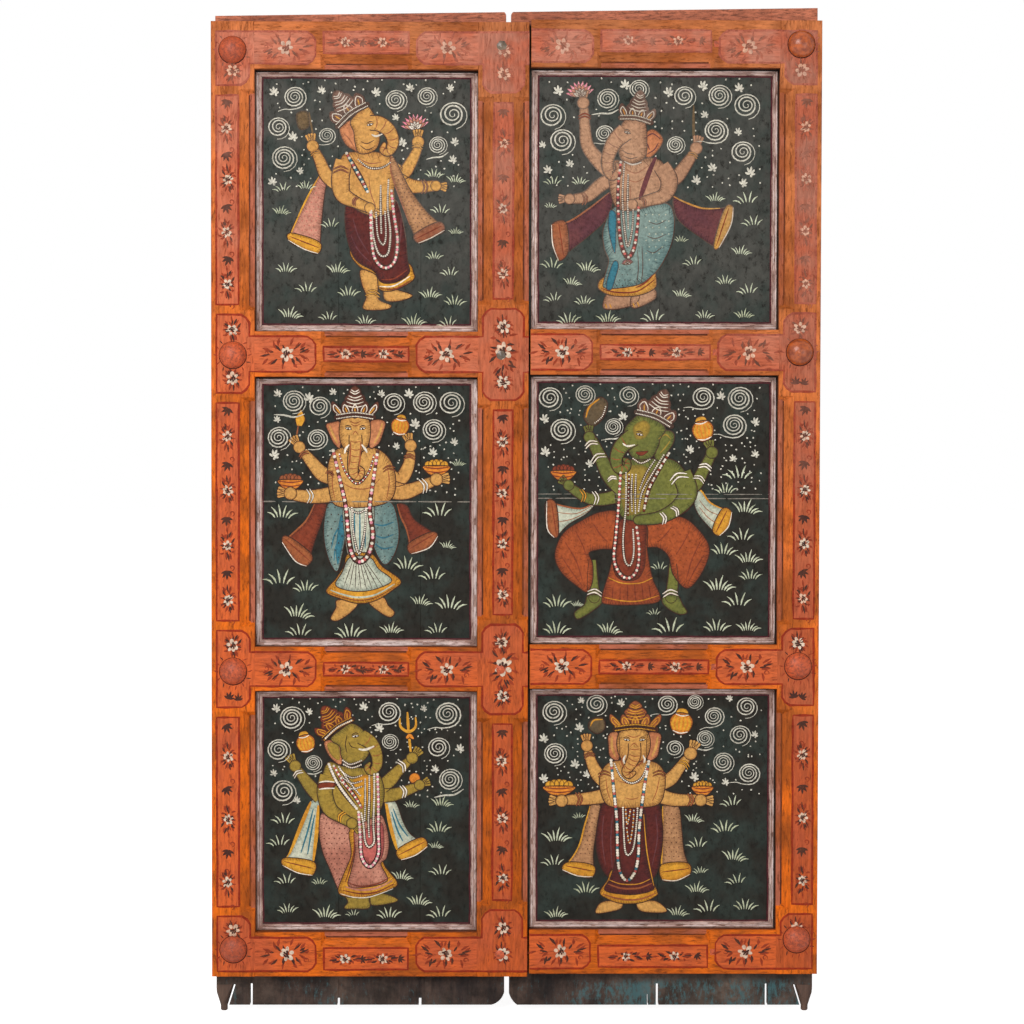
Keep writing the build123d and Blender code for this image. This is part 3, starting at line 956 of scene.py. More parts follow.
class DOOR_OT_stage(bpy.types.Operator):
    """Set the camera, the lamps, the floor and the plain white surroundings"""
    bl_idname = "door.stage"
    bl_label = "Stage"

    def execute(self, context):
        scene = context.scene
        scene.view_settings.view_transform = "Standard"
        world = bpy.data.worlds.new("white_studio")
        world.use_nodes = True
        tree = world.node_tree
        background = tree.nodes["Background"]
        feed(tree, background.inputs["Color"], (1, 1, 1))
        feed(tree, background.inputs["Strength"], ramped(tree, seen_directly(tree), 0, 1, 0.5, 1.0))
        scene.world = world

        floor_mesh = bpy.data.meshes.new("floor")
        half = 30.0
        corners = [(-half, -half, 0), (half, -half, 0), (half, half, 0), (-half, half, 0)]
        floor_mesh.from_pydata(corners, [], [(0, 1, 2, 3)])
        floor = bpy.data.objects.new("floor", floor_mesh)
        scene.collection.objects.link(floor)
        material, tree, surface = new_material("pale_floor")
        feed(tree, surface.inputs["Base Color"], (0.8, 0.8, 0.8))
        surface.inputs["Roughness"].default_value = 0.9
        surface.inputs["Specular IOR Level"].default_value = 0
        feed(tree, surface.inputs["Emission Color"], (1, 1, 1))
        tree.links.new(times(tree, seen_directly(tree), 0.72), surface.inputs["Emission Strength"])
        floor_mesh.materials.append(material)

        middle = (0, 0, (cad_low.z + cad_high.z) / 2)
        area_lamp("key_lamp", (-1.8, -4.2, 3.3), middle, 2.4, 165)
        area_lamp("fill_lamp", (2.6, -4.0, 1.2), middle, 2.6, 38)

        camera = bpy.data.cameras.new("camera")
        camera.sensor_width = 36
        camera.lens = 94.71
        made = bpy.data.objects.new("camera", camera)
        made.location = (-0.0563, -5.0, 1.0937)
        made.rotation_euler = (math.radians(90 - 1.824), math.radians(-0.125), math.radians(-0.562))
        scene.collection.objects.link(made)
        scene.camera = made
        return {"FINISHED"}


class DOOR_OT_finishes(bpy.types.Operator):
    """Give each carried-over piece its wood, paint or iron"""
    bl_idname = "door.finishes"
    bl_label = "Wood and iron finishes"

    def execute(self, context):
        colours = context.scene.door_colours
        level = frame_material("frame_paint_level", colours, LEVEL_BRUSH)
        upright = frame_material("frame_paint_upright", colours, UPRIGHT_BRUSH)
        boards = board_material(colours)
        pegs = peg_material()
        left_iron = iron_material("boss_iron_left", cad_high.z)
        right_iron = iron_material("boss_iron_right", 1.0)
        bare = (srgb(112, 92, 72), srgb(70, 58, 48))
        nails = iron_material("nail_iron", cad_high.z, *bare)
        strip_nails = iron_material("strip_nail_iron", 0.9, *bare)
        for name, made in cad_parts.items():
            if "peg" in name:
                finish = pegs
            elif "board" in name or "post" in name:
                finish = boards
            elif "bosses" in name:
                finish = left_iron if name.startswith("left") else right_iron
            elif "nails" in name or "roves" in name:
                finish = strip_nails if "strip" in name else nails
            elif name.endswith("rail"):
                finish = level
            else:
                finish = upright
            made.data.materials.clear()
            made.data.materials.append(finish)
        return {"FINISHED"}


def hand_drawn(points, closed, wobble=0.5 * MM, step=22 * MM):
    """A line of straight runs as a brush held in the hand would follow it."""
    line = []
    for start, end in pairs_round(points) if closed else zip(points, points[1:]):
        length = math.dist(start, end)
        count = max(1, round(length / step))
        for k in range(count):
            x, z = (a + (b - a) * k / count for a, b in zip(start, end))
            shift = noise.noise_vector(Vector((x * 31, 0.7, z * 31))) * wobble
            line.append((x + shift.x, z + shift.z))
    if not closed:
        line.append(points[-1])
    return line


def cut_box(x0, x1, z0, z1, cuts, size):
    """A box with corners cut off: cuts names them by l or r for the side and f or h for foot or head."""
    line = []
    for name, x, z, near, far in (
        ("lf", x0, z0, (0, size), (size, 0)), ("rf", x1, z0, (-size, 0), (0, size)),
        ("rh", x1, z1, (0, -size), (-size, 0)), ("lh", x0, z1, (size, 0), (0, -size)),
    ):
        if name in cuts:
            bulge = (0.4 * (near[0] + far[0]), 0.4 * (near[1] + far[1]))
            line += [(x + dx, z + dz) for dx, dz in (near, bulge, far)]
        else:
            line.append((x, z))
    return line


class FrameFields:
    """Lays out the painted fields of the front frame and gathers where their flowers go."""

    def __init__(self, name, sizes, paints):
        self.painting = Painting(name, face_y)
        self.sizes = sizes
        self.paints = paints
        self.flowers = []
        self.sprays = {}
        self.tufts = []
        self.scrolls = []

    def lay(self, paint, outline, joined=()):
        """One field with its red outline, which leaves out the edges along a joint, at the places joined."""
        self.painting.field(self.paints[paint], hand_drawn(outline, True), 1)
        count = len(outline)
        starts = [k for k in range(count) if outline[k][0] in joined and outline[k - 1][0] == outline[k][0]]
        runs = [
            [outline[(start + k) % count] for k in range((stop - start - 1) % count + 1)]
            for start, stop in pairs_round(starts)
        ]
        for run in runs or [outline]:
            line = hand_drawn(run, not runs, 0.9 * MM, 16 * MM)
            widths = [
                self.sizes.outline_width * (0.85 + 0.5 * noise.noise(Vector((60 * x, 5, 60 * z))))
                for x, z in line
            ]
            self.painting.stroke(self.paints["line"], line, widths, 1.6, not runs, 1.6)

    def margins(self, name, other):
        """What the fields of a rail leave free below and above: the frame's own edge, or another margin."""
        low = self.sizes.edge_margin if name == "bottom" else other
        high = self.sizes.head_margin if name == "top" else other
        return low, high

    def flower(self, x, z, turn, kind, scale=1.0):
        """A flower among dark and reddish strokes that spread along its turn as its kind says."""
        shift = noise.noise_vector(Vector((x * 90, 3.1, z * 90)))
        x, z = x + 3 * MM * shift.x, z + 2 * MM * shift.z
        size = self.sizes.flower_size
        self.flowers.append((x, z, size * scale * (1 + 0.15 * shift.y), 6 * shift.x))
        turned = turn + (math.pi if shift.x > 0 else 0)
        for tone in ("leaf", "scroll"):
            self.sprays.setdefault((kind, tone, shift.y > 0), []).append((x, z, size, turned))

    def boss_strokes(self, x, z):
        """Short strokes round a boss, mainly beside and below it, and a ring of painted shade round its foot,
        widest below it.
        """
        # Painted shade: a dark ring round the foot of the boss, widest below it.
        widths = [(3 - 1.6 * math.sin(math.tau * k / 24)) * MM for k in range(24)]
        self.painting.stroke(self.paints["dirt"], circle(x, z, 25 * MM, 24), widths, 1.3, True, 1.3)
        for k in range(12):
            angle = -2.4 + 4.8 * k / 11 + UP
            line = [
                towards(x, z, angle + 0.12 * t * math.sin(5 * k), (27.5 + 8 * t) * MM) for t in (0, 0.5, 1)
            ]
            tone = self.paints["leaf" if k % 4 == 0 else "scroll"]
            self.painting.stroke(tone, line, [1.2 * MM, 3.4 * MM, 1 * MM], 1.2, False, 1.2)

    def tuft(self, x, z, turn, scale=1.0):
        """A dark clump of leaves."""
        shift = noise.noise_vector(Vector((x * 70, 9.1, z * 70)))
        x, z = x + 2 * MM * shift.x, z + 2 * MM * shift.z
        self.tufts.append((x, z, self.sizes.flower_size * scale, turn + shift.y))

    def scroll(self, x, z, turn):
        """A thin curl."""
        self.scrolls.append((x, z, self.sizes.flower_size * 0.9, turn))

    def rail(self, name, x0, x1, z0, z1):
        """The two blocks and the run of one rail."""
        margin = self.sizes.field_margin
        low, high = self.margins(name, margin)
        run_low = low + 3 * MM if name == "bottom" else moulding_width + 1 * MM
        run_high = high if name == "top" else moulding_width + 1 * MM
        block = rail_block - margin
        cut = self.sizes.field_cut
        self.lay("field_level", cut_box(x0, x0 + block, z0 + low, z1 - high, ("rf", "rh"), cut), (x0,))
        self.lay("field_level", cut_box(x1 - block, x1, z0 + low, z1 - high, ("lf", "lh"), cut), (x1,))
        start, end = x0 + rail_block + 6 * MM, x1 - rail_block - 6 * MM
        self.lay("field_level", cut_box(start, end, z0 + run_low, z1 - run_high, (), 0))
        middle = (z0 + low + z1 - high) / 2
        for x in (x0 + 0.52 * block, x1 - 0.5 * block):
            self.flower(x, middle, 0, "block", 1.4)
            self.scroll(x - 26 * MM, middle + 8 * MM, 2.6)
            self.scroll(x + 24 * MM, middle - 6 * MM, 0.4)
        middle = (z0 + run_low + z1 - run_high) / 2
        length = end - start
        for share in (0.25, 0.7):
            self.flower(start + share * length, middle, 0, "slim", 0.95)
            self.tuft(start + (share + 0.22) * length, middle, 0, 0.95)

    def upright(self, rails, x0, x1, left, right, block_reach, run_left, run_right, joins):
        """The blocks and runs of one upright: left and right say how much of it the fields leave free."""
        margin = self.sizes.field_margin
        cut = self.sizes.field_cut
        ends = []
        for name in RAIL_NAMES:
            z0, z1 = rails[name]
            low, high = self.margins(name, 8 * MM - block_reach)
            low, high = z0 + low, z1 - high
            field_low, field_high = self.margins(name, margin)
            field_low, field_high = z0 + field_low, z1 - field_high
            cuts = [side + end for side in joins for end in "fh"
                    if not (end == "f" and name == "bottom") and not (end == "h" and name == "top")]
            outline = cut_box(x0 + left, x1 - right, low, high, cuts, cut)
            if "r" in joins:
                after = [p for p in outline if p[0] == x1 - right and p[1] <= (low + high) / 2][-1]
                at = outline.index(after) + 1
                outline[at:at] = [(x, z) for x, z in (
                    (x1 - right, field_low), (x1, field_low), (x1, field_high), (x1 - right, field_high),
                ) if x == x1 or low < z < high]
            if "l" in joins:
                outline += [(x, z) for x, z in (
                    (x0 + left, field_high), (x0, field_high), (x0, field_low), (x0 + left, field_low),
                ) if x == x0 or low < z < high]
            self.lay("field_upright", outline, [x0 if side == "l" else x1 for side in joins])
            self.block_flowers((x0 + left + x1 - right) / 2, low, high, name, joins)
            ends.append((low, high))
        for (_, low), (high, _) in zip(ends, ends[1:]):
            start, end = low + 19 * MM, high - 19 * MM
            self.lay("field_upright", cut_box(x0 + run_left, x1 - run_right, start, end, (), 0))
            x = (x0 + run_left + x1 - run_right) / 2
            count = round((end - start) / self.sizes.flower_pitch)
            pitch = (end - start) / count
            for k in range(count):
                self.flower(x, start + (k + 0.38) * pitch, math.pi / 2, "upright")
                self.tuft(x, start + (k + 0.84) * pitch, math.pi / 2, 1.25)
                self.scroll(x - 8 * MM, start + (k + 0.66) * pitch, 1.2)
                self.scroll(x + 8 * MM, start + (k + 0.1) * pitch, 1.6)

    def block_flowers(self, x, low, high, name, joins):
        """The flowers and strokes on a block: above or below a boss, or round a nail head."""
        if len(joins) == 2:
            for z in (low + 33 * MM, high - 33 * MM):
                self.flower(x, z, math.pi / 2, "tight", 1.25)
            if name in ("lower", "upper"):
                self.flower(x, (low + high) / 2 + 6 * MM, math.pi / 2, "block", 1.7)
            return
        if name != "top":
            self.flower(x, high - 27 * MM, math.pi / 2, "tight", 1.25)
        if name == "top" or (name == "upper" and joins == ("r",)):
            self.flower(x, low + 26 * MM, math.pi / 2, "tight", 1.25)
        elif name != "bottom":
            self.tuft(x - 8 * MM, low + 20 * MM, UP, 1.1)
            self.tuft(x + 9 * MM, low + 18 * MM, UP, 1.0)

    def finish(self, body):
        """Stamps the flowers and makes the object."""
        stamps = [
            ("scroll_curl", draw_scroll, "scroll", self.scrolls, 1.0),
            ("leaf_tuft", draw_leaf_tuft, "leaf", self.tufts, 1.1),
            ("flower_petals", draw_petals, "petal", self.flowers, 1.6),
            ("flower_hearts", draw_hearts, "leaf", self.flowers, 2.8),
        ]
        for (kind, tone, second), places in self.sprays.items():
            dark = tone == "leaf"
            seed = 11 + 2 * dark + second
            drawing = spray_drawing(kind, 11 if dark else 14, 0.28 if dark else 0.42, seed)
            stamps.append((f"{kind}_spray_{seed}", drawing, tone, places, 1.2 if dark else 1.05))
        for motif, draw, paint, places, level in stamps:
            mesh = stamped(motif_object(motif, draw), self.paints[paint], places, face_y - level * coat)
            self.painting.add_mesh(mesh, self.paints[paint])
        return self.painting.finish(body, "painted_frame")


class DOOR_OT_frame_fields(bpy.types.Operator):
    """Paint the fields, lines and flowers of the front frame"""
    bl_idname = "door.frame_fields"
    bl_label = "Frame fields and flowers"

    def execute(self, context):
        colours = context.scene.door_colours
        sizes = context.scene.door_sizes
        dusty = tuple(colours.field_dusty)
        paints = {
            "field_level": field_material("field_paint_level", colours, LEVEL_BRUSH, 0.98),
            "field_upright": field_material("field_paint_upright", colours, UPRIGHT_BRUSH, 0.75),
            "line": paint_material("line_paint", colours.line_red, dusty=dusty),
            "petal": paint_material(
                "petal_paint", colours.petal, srgb(214, 160, 128), srgb(150, 90, 60), dusty=dusty),
            "leaf": paint_material(
                "leaf_paint", colours.leaf, srgb(80, 44, 26), srgb(120, 60, 34), dusty=dusty),
            "scroll": paint_material("scroll_paint", colours.scroll, dusty=dusty),
            # Painted shade round the feet of the bosses.
            "dirt": paint_material("boss_dirt", srgb(74, 26, 12), wear=0.5),
        }
        margin, edge = sizes.field_margin, sizes.edge_margin
        run = moulding_width + 1.5 * MM
        left = FrameFields("left_frame_painting", sizes, paints)
        for name in RAIL_NAMES:
            left.rail(name, left_stile_x[1], strip_x[0], *left_rails[name])
        left.upright(left_rails, *left_stile_x, edge, margin, stile_block_reach, edge, run, ("r",))
        left.upright(left_rails, *strip_x, margin, margin, strip_block_reach, run, run, ("l", "r"))
        for z in left_boss_heights:
            left.boss_strokes(left_boss_x, z)
        left.finish("left_leaf")
        right = FrameFields("right_frame_painting", sizes, paints)
        for name in RAIL_NAMES:
            right.rail(name, right_rail_start + 1 * MM, right_stile_x[0], *right_rails[name])
        right.upright(right_rails, *right_stile_x, margin, edge, stile_block_reach, run, edge, ("l",))
        for z in right_boss_heights:
            right.boss_strokes(right_boss_x, z)
        right.finish("right_leaf")
        return {"FINISHED"}


# The panels.


class Sheet:
    """A painter's sheet laid over a panel: across from the left and down from the top, in its own units."""

    def __init__(self, box, margins):
        self.x0, self.x1, self.z0, self.z1 = box
        self.u0, self.u1, self.v0, self.v1 = margins
        self.unit = (self.x1 - self.x0) / (self.u1 - self.u0)

    def at(self, u, v):
        """The place on the door of a point on the sheet."""
        down = (v - self.v0) / (self.v1 - self.v0)
        return self.x0 + (u - self.u0) * self.unit, self.z1 - down * (self.z1 - self.z0)

    def line(self, points):
        """The places on the door of points on the sheet."""
        return [self.at(u, v) for u, v in points]


def panel_box(column, row):
    """The opening of a panel: its lowest and highest places across and up."""
    rails = left_rails if column == "left" else right_rails
    above = {"lower": "lower", "middle": "upper", "upper": "top"}[row]
    below = {"lower": "bottom", "middle": "lower", "upper": "upper"}[row]
    x0, x1 = (left_stile_x[1], strip_x[0]) if column == "left" else (strip_x[1] + 4 * MM, right_stile_x[0])
    return x0, x1, rails[below][1], rails[above][0]


# The edges of each panel on its sheet: left, right, top and bottom.
sheet_edges = {
    ("left", "upper"): (2.5, 127.1, 5.9, 151.8),
    ("right", "upper"): (6.5, 144.5, 5.0, 150.6),
    ("left", "middle"): (2.5, 127.1, 3.6, 155.1),
    ("right", "middle"): (6.5, 144.5, 2.2, 153.2),
    ("left", "lower"): (2.7, 136.9, 3.6, 150.5),
    ("right", "lower"): (6.9, 149.2, 1.3, 142.9),
}

# The spirals of each panel on its sheet: across, down, radius.
spirals = {
    ("left", "upper"): (
        (24.5, 20.5, 6), (15.5, 37.5, 6), (18.5, 54.5, 7), (42.5, 42, 4.5), (81, 22, 6), (98.5, 20, 5.5),
        (113, 30, 7.5), (104.5, 47, 5),
    ),
    ("right", "upper"): (
        (18.5, 31, 7), (49, 21.5, 6), (24, 45, 7), (66.5, 16, 5.5), (47.5, 41, 5), (92, 20, 6),
        (111.5, 19.5, 6.5), (126.5, 25, 7), (87, 47, 5), (109.5, 39, 6.5), (124.5, 51, 6.5),
    ),
    ("left", "middle"): (
        (24, 17, 6.5), (38.5, 20, 6), (15.5, 37.5, 6.5), (37, 38, 5.5), (80, 18, 6), (97, 17.5, 6.5),
        (112.5, 18, 7), (102.5, 33, 6.5),
    ),
    ("right", "middle"): (
        (17.5, 15, 6.5), (37, 13, 5.5), (24.5, 33, 7), (61.5, 13.5, 5.5), (53, 31, 5), (103, 14.5, 6),
        (123.5, 15, 7), (120.5, 30, 6.5),
    ),
    ("left", "lower"): (
        (24.5, 20.5, 7.5), (16.5, 40, 7), (19.5, 65.5, 7.5), (37.5, 48, 5), (83.5, 17, 6.5), (84, 35, 5),
        (119, 18, 7.5), (113.5, 38.5, 6.5), (120.5, 58, 7),
    ),
    ("right", "lower"): (
        (21, 15.5, 7), (45.5, 11, 6), (21.5, 40, 6.5), (86.5, 11, 5.5), (102.5, 9.5, 4.5), (113.5, 18, 5.5),
        (132.5, 12.5, 6), (108.5, 31, 5), (128.5, 29, 6), (119, 45, 6), (134, 51.5, 6), (91, 37, 5),
    ),
}


# The buds between the spirals on each sheet: across, down.
buds = {
    ("left", "upper"): (
        (13, 18), (39.5, 17), (89, 15.5), (111.5, 15.5), (70, 18), (81, 32), (23.5, 43), (84.5, 46),
        (114, 45.5), (113, 55.5), (27.5, 62), (12, 68),
    ),
    ("right", "upper"): (
        (21.6, 17.5), (58.8, 14), (102.2, 14.5), (122.4, 15.5), (103.2, 30.5), (121.9, 40), (12.9, 47.5),
        (15.9, 61.5), (28.2, 58), (107.6, 60), (128.8, 62.5), (98.7, 67), (124.9, 68.5), (83, 18),
    ),
    ("left", "middle"): (
        (15, 13), (32.5, 15.5), (46, 12), (73, 13), (88.5, 13), (14.5, 27.5), (92, 30), (13, 47.5),
        (81.5, 42.5), (102, 46), (114, 40),
    ),
    ("right", "middle"): (
        (14.4, 27), (14.9, 45.5), (58.3, 25.5), (39.6, 52), (95.8, 44), (113, 14), (132.3, 28.5),
        (132.3, 46.5), (120, 49),
    ),
    ("left", "lower"): (
        (15, 15), (35, 17), (68, 14), (77.5, 27), (104.5, 15), (126.5, 39.5), (111.5, 52), (13.5, 54.5),
        (27.5, 71),
    ),
    ("right", "lower"): (
        (36.7, 9), (59.7, 10.5), (122.4, 7.5), (35.7, 25), (15.1, 31.5), (33.2, 46.5), (40.1, 52.5),
        (15.1, 55), (137.1, 29), (102.3, 54), (120.4, 57),
    ),
}

# The tufts of grass on each sheet: across, down.
tufts = {
    ("left", "upper"): (
        (18, 70), (31, 69), (16.5, 83), (45, 90), (19.5, 115), (48, 115), (32, 126), (54.5, 128),
        (21.5, 140), (44, 142), (64, 144), (90.5, 144), (110.5, 145), (114.5, 133), (99.5, 129), (112, 117),
        (102.5, 108), (114, 94.5), (107, 82), (102.5, 62), (115, 65),
    ),
    ("right", "upper"): (
        (19.4, 66.5), (33.7, 66.5), (108.6, 75.5), (127.3, 75.5), (17.4, 80.5), (25.3, 88), (130.8, 88.5),
        (90.3, 99), (123.4, 105), (97.3, 111), (14.4, 103.5), (38, 114), (17.9, 112.5), (115, 121.5),
        (29.2, 122.5), (17.4, 131.5), (36.1, 133), (90.3, 129), (128.3, 126.5), (27.2, 143), (48.9, 142.5),
        (75.6, 141.5), (103.7, 141), (124.9, 140.5),
    ),
    ("left", "middle"): (
        (12, 60), (16, 78), (16, 92), (15, 115), (30, 120), (26, 134), (28, 145), (55, 145), (78, 144),
        (105, 144), (112, 129), (95, 128), (103, 113), (88, 107), (110, 97), (106, 77), (115, 64),
        (116, 51), (37, 106),
    ),
    ("right", "middle"): (
        (124, 55.5), (115.5, 64.5), (127, 74.5), (126, 90.5), (115, 98.5), (128, 103), (16, 97), (17, 111),
        (48.5, 105.5), (79.5, 108.5), (132, 113), (111.5, 118), (124, 127), (19.5, 128), (32.5, 130),
        (76.5, 134.5), (21, 143), (50.5, 143), (85.5, 141.5), (111, 141.5), (128, 142),
    ),
    ("left", "lower"): (
        (20.5, 81), (97, 72.5), (115, 70.5), (15, 94.5), (113.5, 86), (111.5, 97.5), (21.5, 118),
        (41, 119.5), (91, 115.5), (116, 112.5), (21.5, 136), (44.5, 138), (62, 139), (83, 138.5),
        (101, 130.5), (115, 138),
    ),
    ("right", "lower"): (
        (16.1, 71.5), (35.2, 76), (20, 87), (19.5, 102), (39.6, 118), (21, 133), (41.6, 133), (63.6, 133),
        (92.5, 132), (111.1, 129), (132.2, 128), (103.3, 118), (127.3, 113), (105.7, 108), (125.3, 98.5),
        (104.8, 91.5), (119.5, 81.5), (101.8, 77), (124.4, 67),
    ),
}
tuft_widths = {"upper": 12.5, "middle": 16, "lower": 15.5}


def inside(point, outline):
    """Whether a point lies inside an outline."""
    x, y = point
    crossed = False
    for (x0, y0), (x1, y1) in pairs_round(outline):
        if (y0 > y) != (y1 > y) and x < x0 + (x1 - x0) * (y - y0) / (y1 - y0):
            crossed = not crossed
    return crossed


def free_places(sheet, taken, rows, pitch, spread, clear, dice):
    """Places scattered evenly over rows of a sheet, clear of the outlines that are taken."""
    first, last = rows
    places = []
    v = first
    offset = 0.0
    while v < last:
        u = sheet.u0 + 12 + offset
        while u < sheet.u1 - 10:
            place = (u + dice.uniform(-spread, spread), v + dice.uniform(-spread, spread))
            around = [
                (place[0] + dx, place[1] + dy) for dx in (-clear, 0, clear) for dy in (-clear, 0, clear)
            ]
            if not any(inside(spot, outline) for outline in taken for spot in around):
                places.append(place)
            u += pitch
        v += pitch * 0.8
        offset = pitch / 2 - offset
    return places


# The forms of the chalk spirals: how many turns, and how the tail runs.
spiral_kinds = ((3.7, "joined"), (3.3, "none"), (3.9, "apart"), (3.4, "joined"), (3.8, "none"))


def broken_line(painting, paint, start, end, width, level, dice, gap=18 * MM, drop=None):
    """A brushed line from start to end, with gaps in it."""
    length = math.dist(start, end)
    at = dice.uniform(0, gap)
    while at < length:
        stop = min(at + dice.uniform(3, 9) * gap, length)
        run = [tuple(a + (b - a) * share / length for a, b in zip(start, end)) for share in (at, stop)]
        line = hand_drawn(run, False, 0.5 * MM, 12 * MM)
        last = len(line) - 1
        widths = [
            width * (0.35 + 0.65 * math.sin(math.pi * (0.08 + 0.84 * k / last))) for k in range(last + 1)
        ]
        painting.stroke(paint, line, widths, level, False, level if drop is None else drop)
        at = stop + dice.uniform(0.3, 1.5) * gap


class DOOR_OT_panels(bpy.types.Operator):
    """Paint the borders and the grounds of the six panels"""
    bl_idname = "door.panels"
    bl_label = "Panel borders and grounds"

    def execute(self, context):
        colours = context.scene.door_colours
        sizes = context.scene.door_sizes
        paints = {
            "maroon": paint_material("maroon_line_paint", colours.border_maroon, wear=0.5),
            "shade": paint_material("shade_line_paint", colours.border_shade),
        }
        for name, brush in (("level", LEVEL_BRUSH), ("upright", UPRIGHT_BRUSH)):
            paints[f"border_{name}"] = paint_material(
                f"border_paint_{name}", colours.border_white, colours.border_dirt, srgb(72, 46, 38),
                brush, 0.7, 0.45)
            paints[f"pale_{name}"] = paint_material(
                f"pale_border_paint_{name}", colours.border_pale, srgb(186, 154, 144), srgb(130, 92, 82),
                brush, 0.7, 0.45)
        chalk = paint_material("chalk_paint", colours.chalk, srgb(170, 164, 148), srgb(90, 86, 76), wear=0.35)
        grass = paint_material("grass_paint", colours.grass, srgb(158, 164, 126), srgb(86, 90, 66), wear=0.3)
        for number, (place, edges) in enumerate(sheet_edges.items()):
            column, row = place
            dice = random.Random(40 + number)
            box = panel_box(column, row)
            sheet = Sheet(box, edges)
            painting = Painting(f"{column}_{row}_panel_ground", ground_y)
            pale = 8 * MM if place == ("left", "middle") else 4.2 * MM
            self.paint_border(painting, paints, box, sizes, column, pale, dice)
            taken = list(figure_outlines.get(place, []))
            kinds = {}
            for k, (u, v, radius) in enumerate(spirals[place]):
                spot = (*sheet.at(u, v), 2.1 * radius * sheet.unit, dice.uniform(-0.25, 0.15))
                turns, tail = spiral_kinds[(k + number) % 5]
                beside = any(
                    0 < u - u1 < 3.4 * radius and abs(v + 4 - v1) < r1 + 4 for u1, v1, r1 in spirals[place])
                if beside or u - 1.9 * radius < sheet.u0 + 8:
                    tail = "none"
                kinds.setdefault((turns, tail), []).append(spot)
                taken.append(circle(u, v, radius + 2))
            for (turns, tail), places in kinds.items():
                motif = motif_object(f"spiral_{turns}_{tail}", spiral_drawing(turns, tail))
                painting.add_mesh(stamped(motif, chalk, places, ground_y), chalk)
            self.scatter(painting, sheet, motif_object("bud", draw_sprig), chalk, buds[place], 5, 0.5, dice)
            taken += [circle(u, v, 3.5, 6) for u, v in buds[place]]
            rows = (sheet.v0 + 7, sheet.v0 + 0.45 * (sheet.v1 - sheet.v0))
            dots = free_places(sheet, taken, rows, 6.5 if row == "upper" else 4.8, 2.0, 0.6, dice)
            self.scatter(painting, sheet, motif_object("dot", draw_dot), chalk, dots, 1.1, 3.1, dice)
            size = 0.84 * tuft_widths[row]
            grown = self.room_for_tufts(sheet, figure_outlines.get(place, []), tufts[place], size)
            for (k, scale), places in grown.items():
                motif = motif_object(f"grass_tuft_{k}", tuft_drawing(5 + k, 0.25 * (k - 1), 20 + k))
                self.scatter(painting, sheet, motif, grass, places, scale * size, 0.12, dice)
            painting.finish(f"{column}_leaf", "painted_boards")
        return {"FINISHED"}

    def room_for_tufts(self, sheet, drawn, places, size):
        """The places of tufts by their form and scale: as large as fits between the border and the figure."""
        grown = {}
        for k, (u, v) in enumerate(places):
            for scale in (1.0, 0.8, 0.6):
                half = 0.66 * size * scale
                middle = min(max(u, sheet.u0 + 6 + half), sheet.u1 - 6 - half)
                feet = [(middle + share * half, v + 0.2 * size) for share in (-0.4, 0.4)]
                tips = [(middle + share * half, v - 0.2 * size * scale) for share in (-0.9, 0, 0.9)]
                if not any(inside(point, outline) for outline in drawn for point in feet + tips):
                    grown.setdefault((k % 3, scale), []).append((middle, v))
                    break
        return grown

    def scatter(self, painting, sheet, motif, paint, places, size, turn, dice):
        """Stamps a motif at places of a sheet, each a little different in size and turn."""
        spots = [
            (*sheet.at(u, v), size * sheet.unit * dice.uniform(0.8, 1.15), dice.uniform(-turn, turn))
            for u, v in places
        ]
        if spots:
            painting.add_mesh(stamped(motif, paint, spots, ground_y), paint)

    def paint_border(self, painting, paints, box, sizes, column, pale, dice):
        """The band round a panel with pale streaks along it, the maroon line inside it, and shade lines."""
        x0, x1, z0, z1 = box
        width = sizes.border_width

        def corners(step):
            left, right, low, high = x0 + step, x1 - step, z0 + step, z1 - step
            return [(left, low), (right, low), (right, high), (left, high)]

        outer, inner, middle = corners(1 * MM), corners(width), corners(width + 0.5 * sizes.border_line)
        for k, way in enumerate(("level", "upright", "level", "upright")):
            m = (k + 1) % 4
            band = [outer[k], outer[m]] + hand_drawn([inner[m], inner[k]], False, 1.4 * MM, 14 * MM)
            painting.field(paints[f"border_{way}"], band, 1 + 0.05 * k)
            line = hand_drawn([middle[k], middle[m]], False, 1.0 * MM, 14 * MM)
            painting.stroke(paints["maroon"], line, sizes.border_line, 1.4 + 0.05 * k, False, 1.4)
            for share, wide in ((0.36, pale), (0.72, 2 * MM)):
                ends = corners(share * width)
                broken_line(painting, paints[f"pale_{way}"], ends[k], ends[m], wide, 1.5 + 0.05 * k, dice)
        line = hand_drawn([(x0, z1 - 2 * MM), (x1, z1 - 2 * MM)], False, 0.6 * MM)
        painting.stroke(paints["shade"], line, 4.5 * MM, 1.7, False, 1.7)
        if column == "right":
            line = hand_drawn([(x1 - 1.5 * MM, z0), (x1 - 1.5 * MM, z1)], False, 0.6 * MM)
            painting.stroke(paints["shade"], line, 3.2 * MM, 1.8, False, 1.8)


# The painted figures.

# What each figure covers of its panel, as outlines on its sheet.
figure_outlines = {}

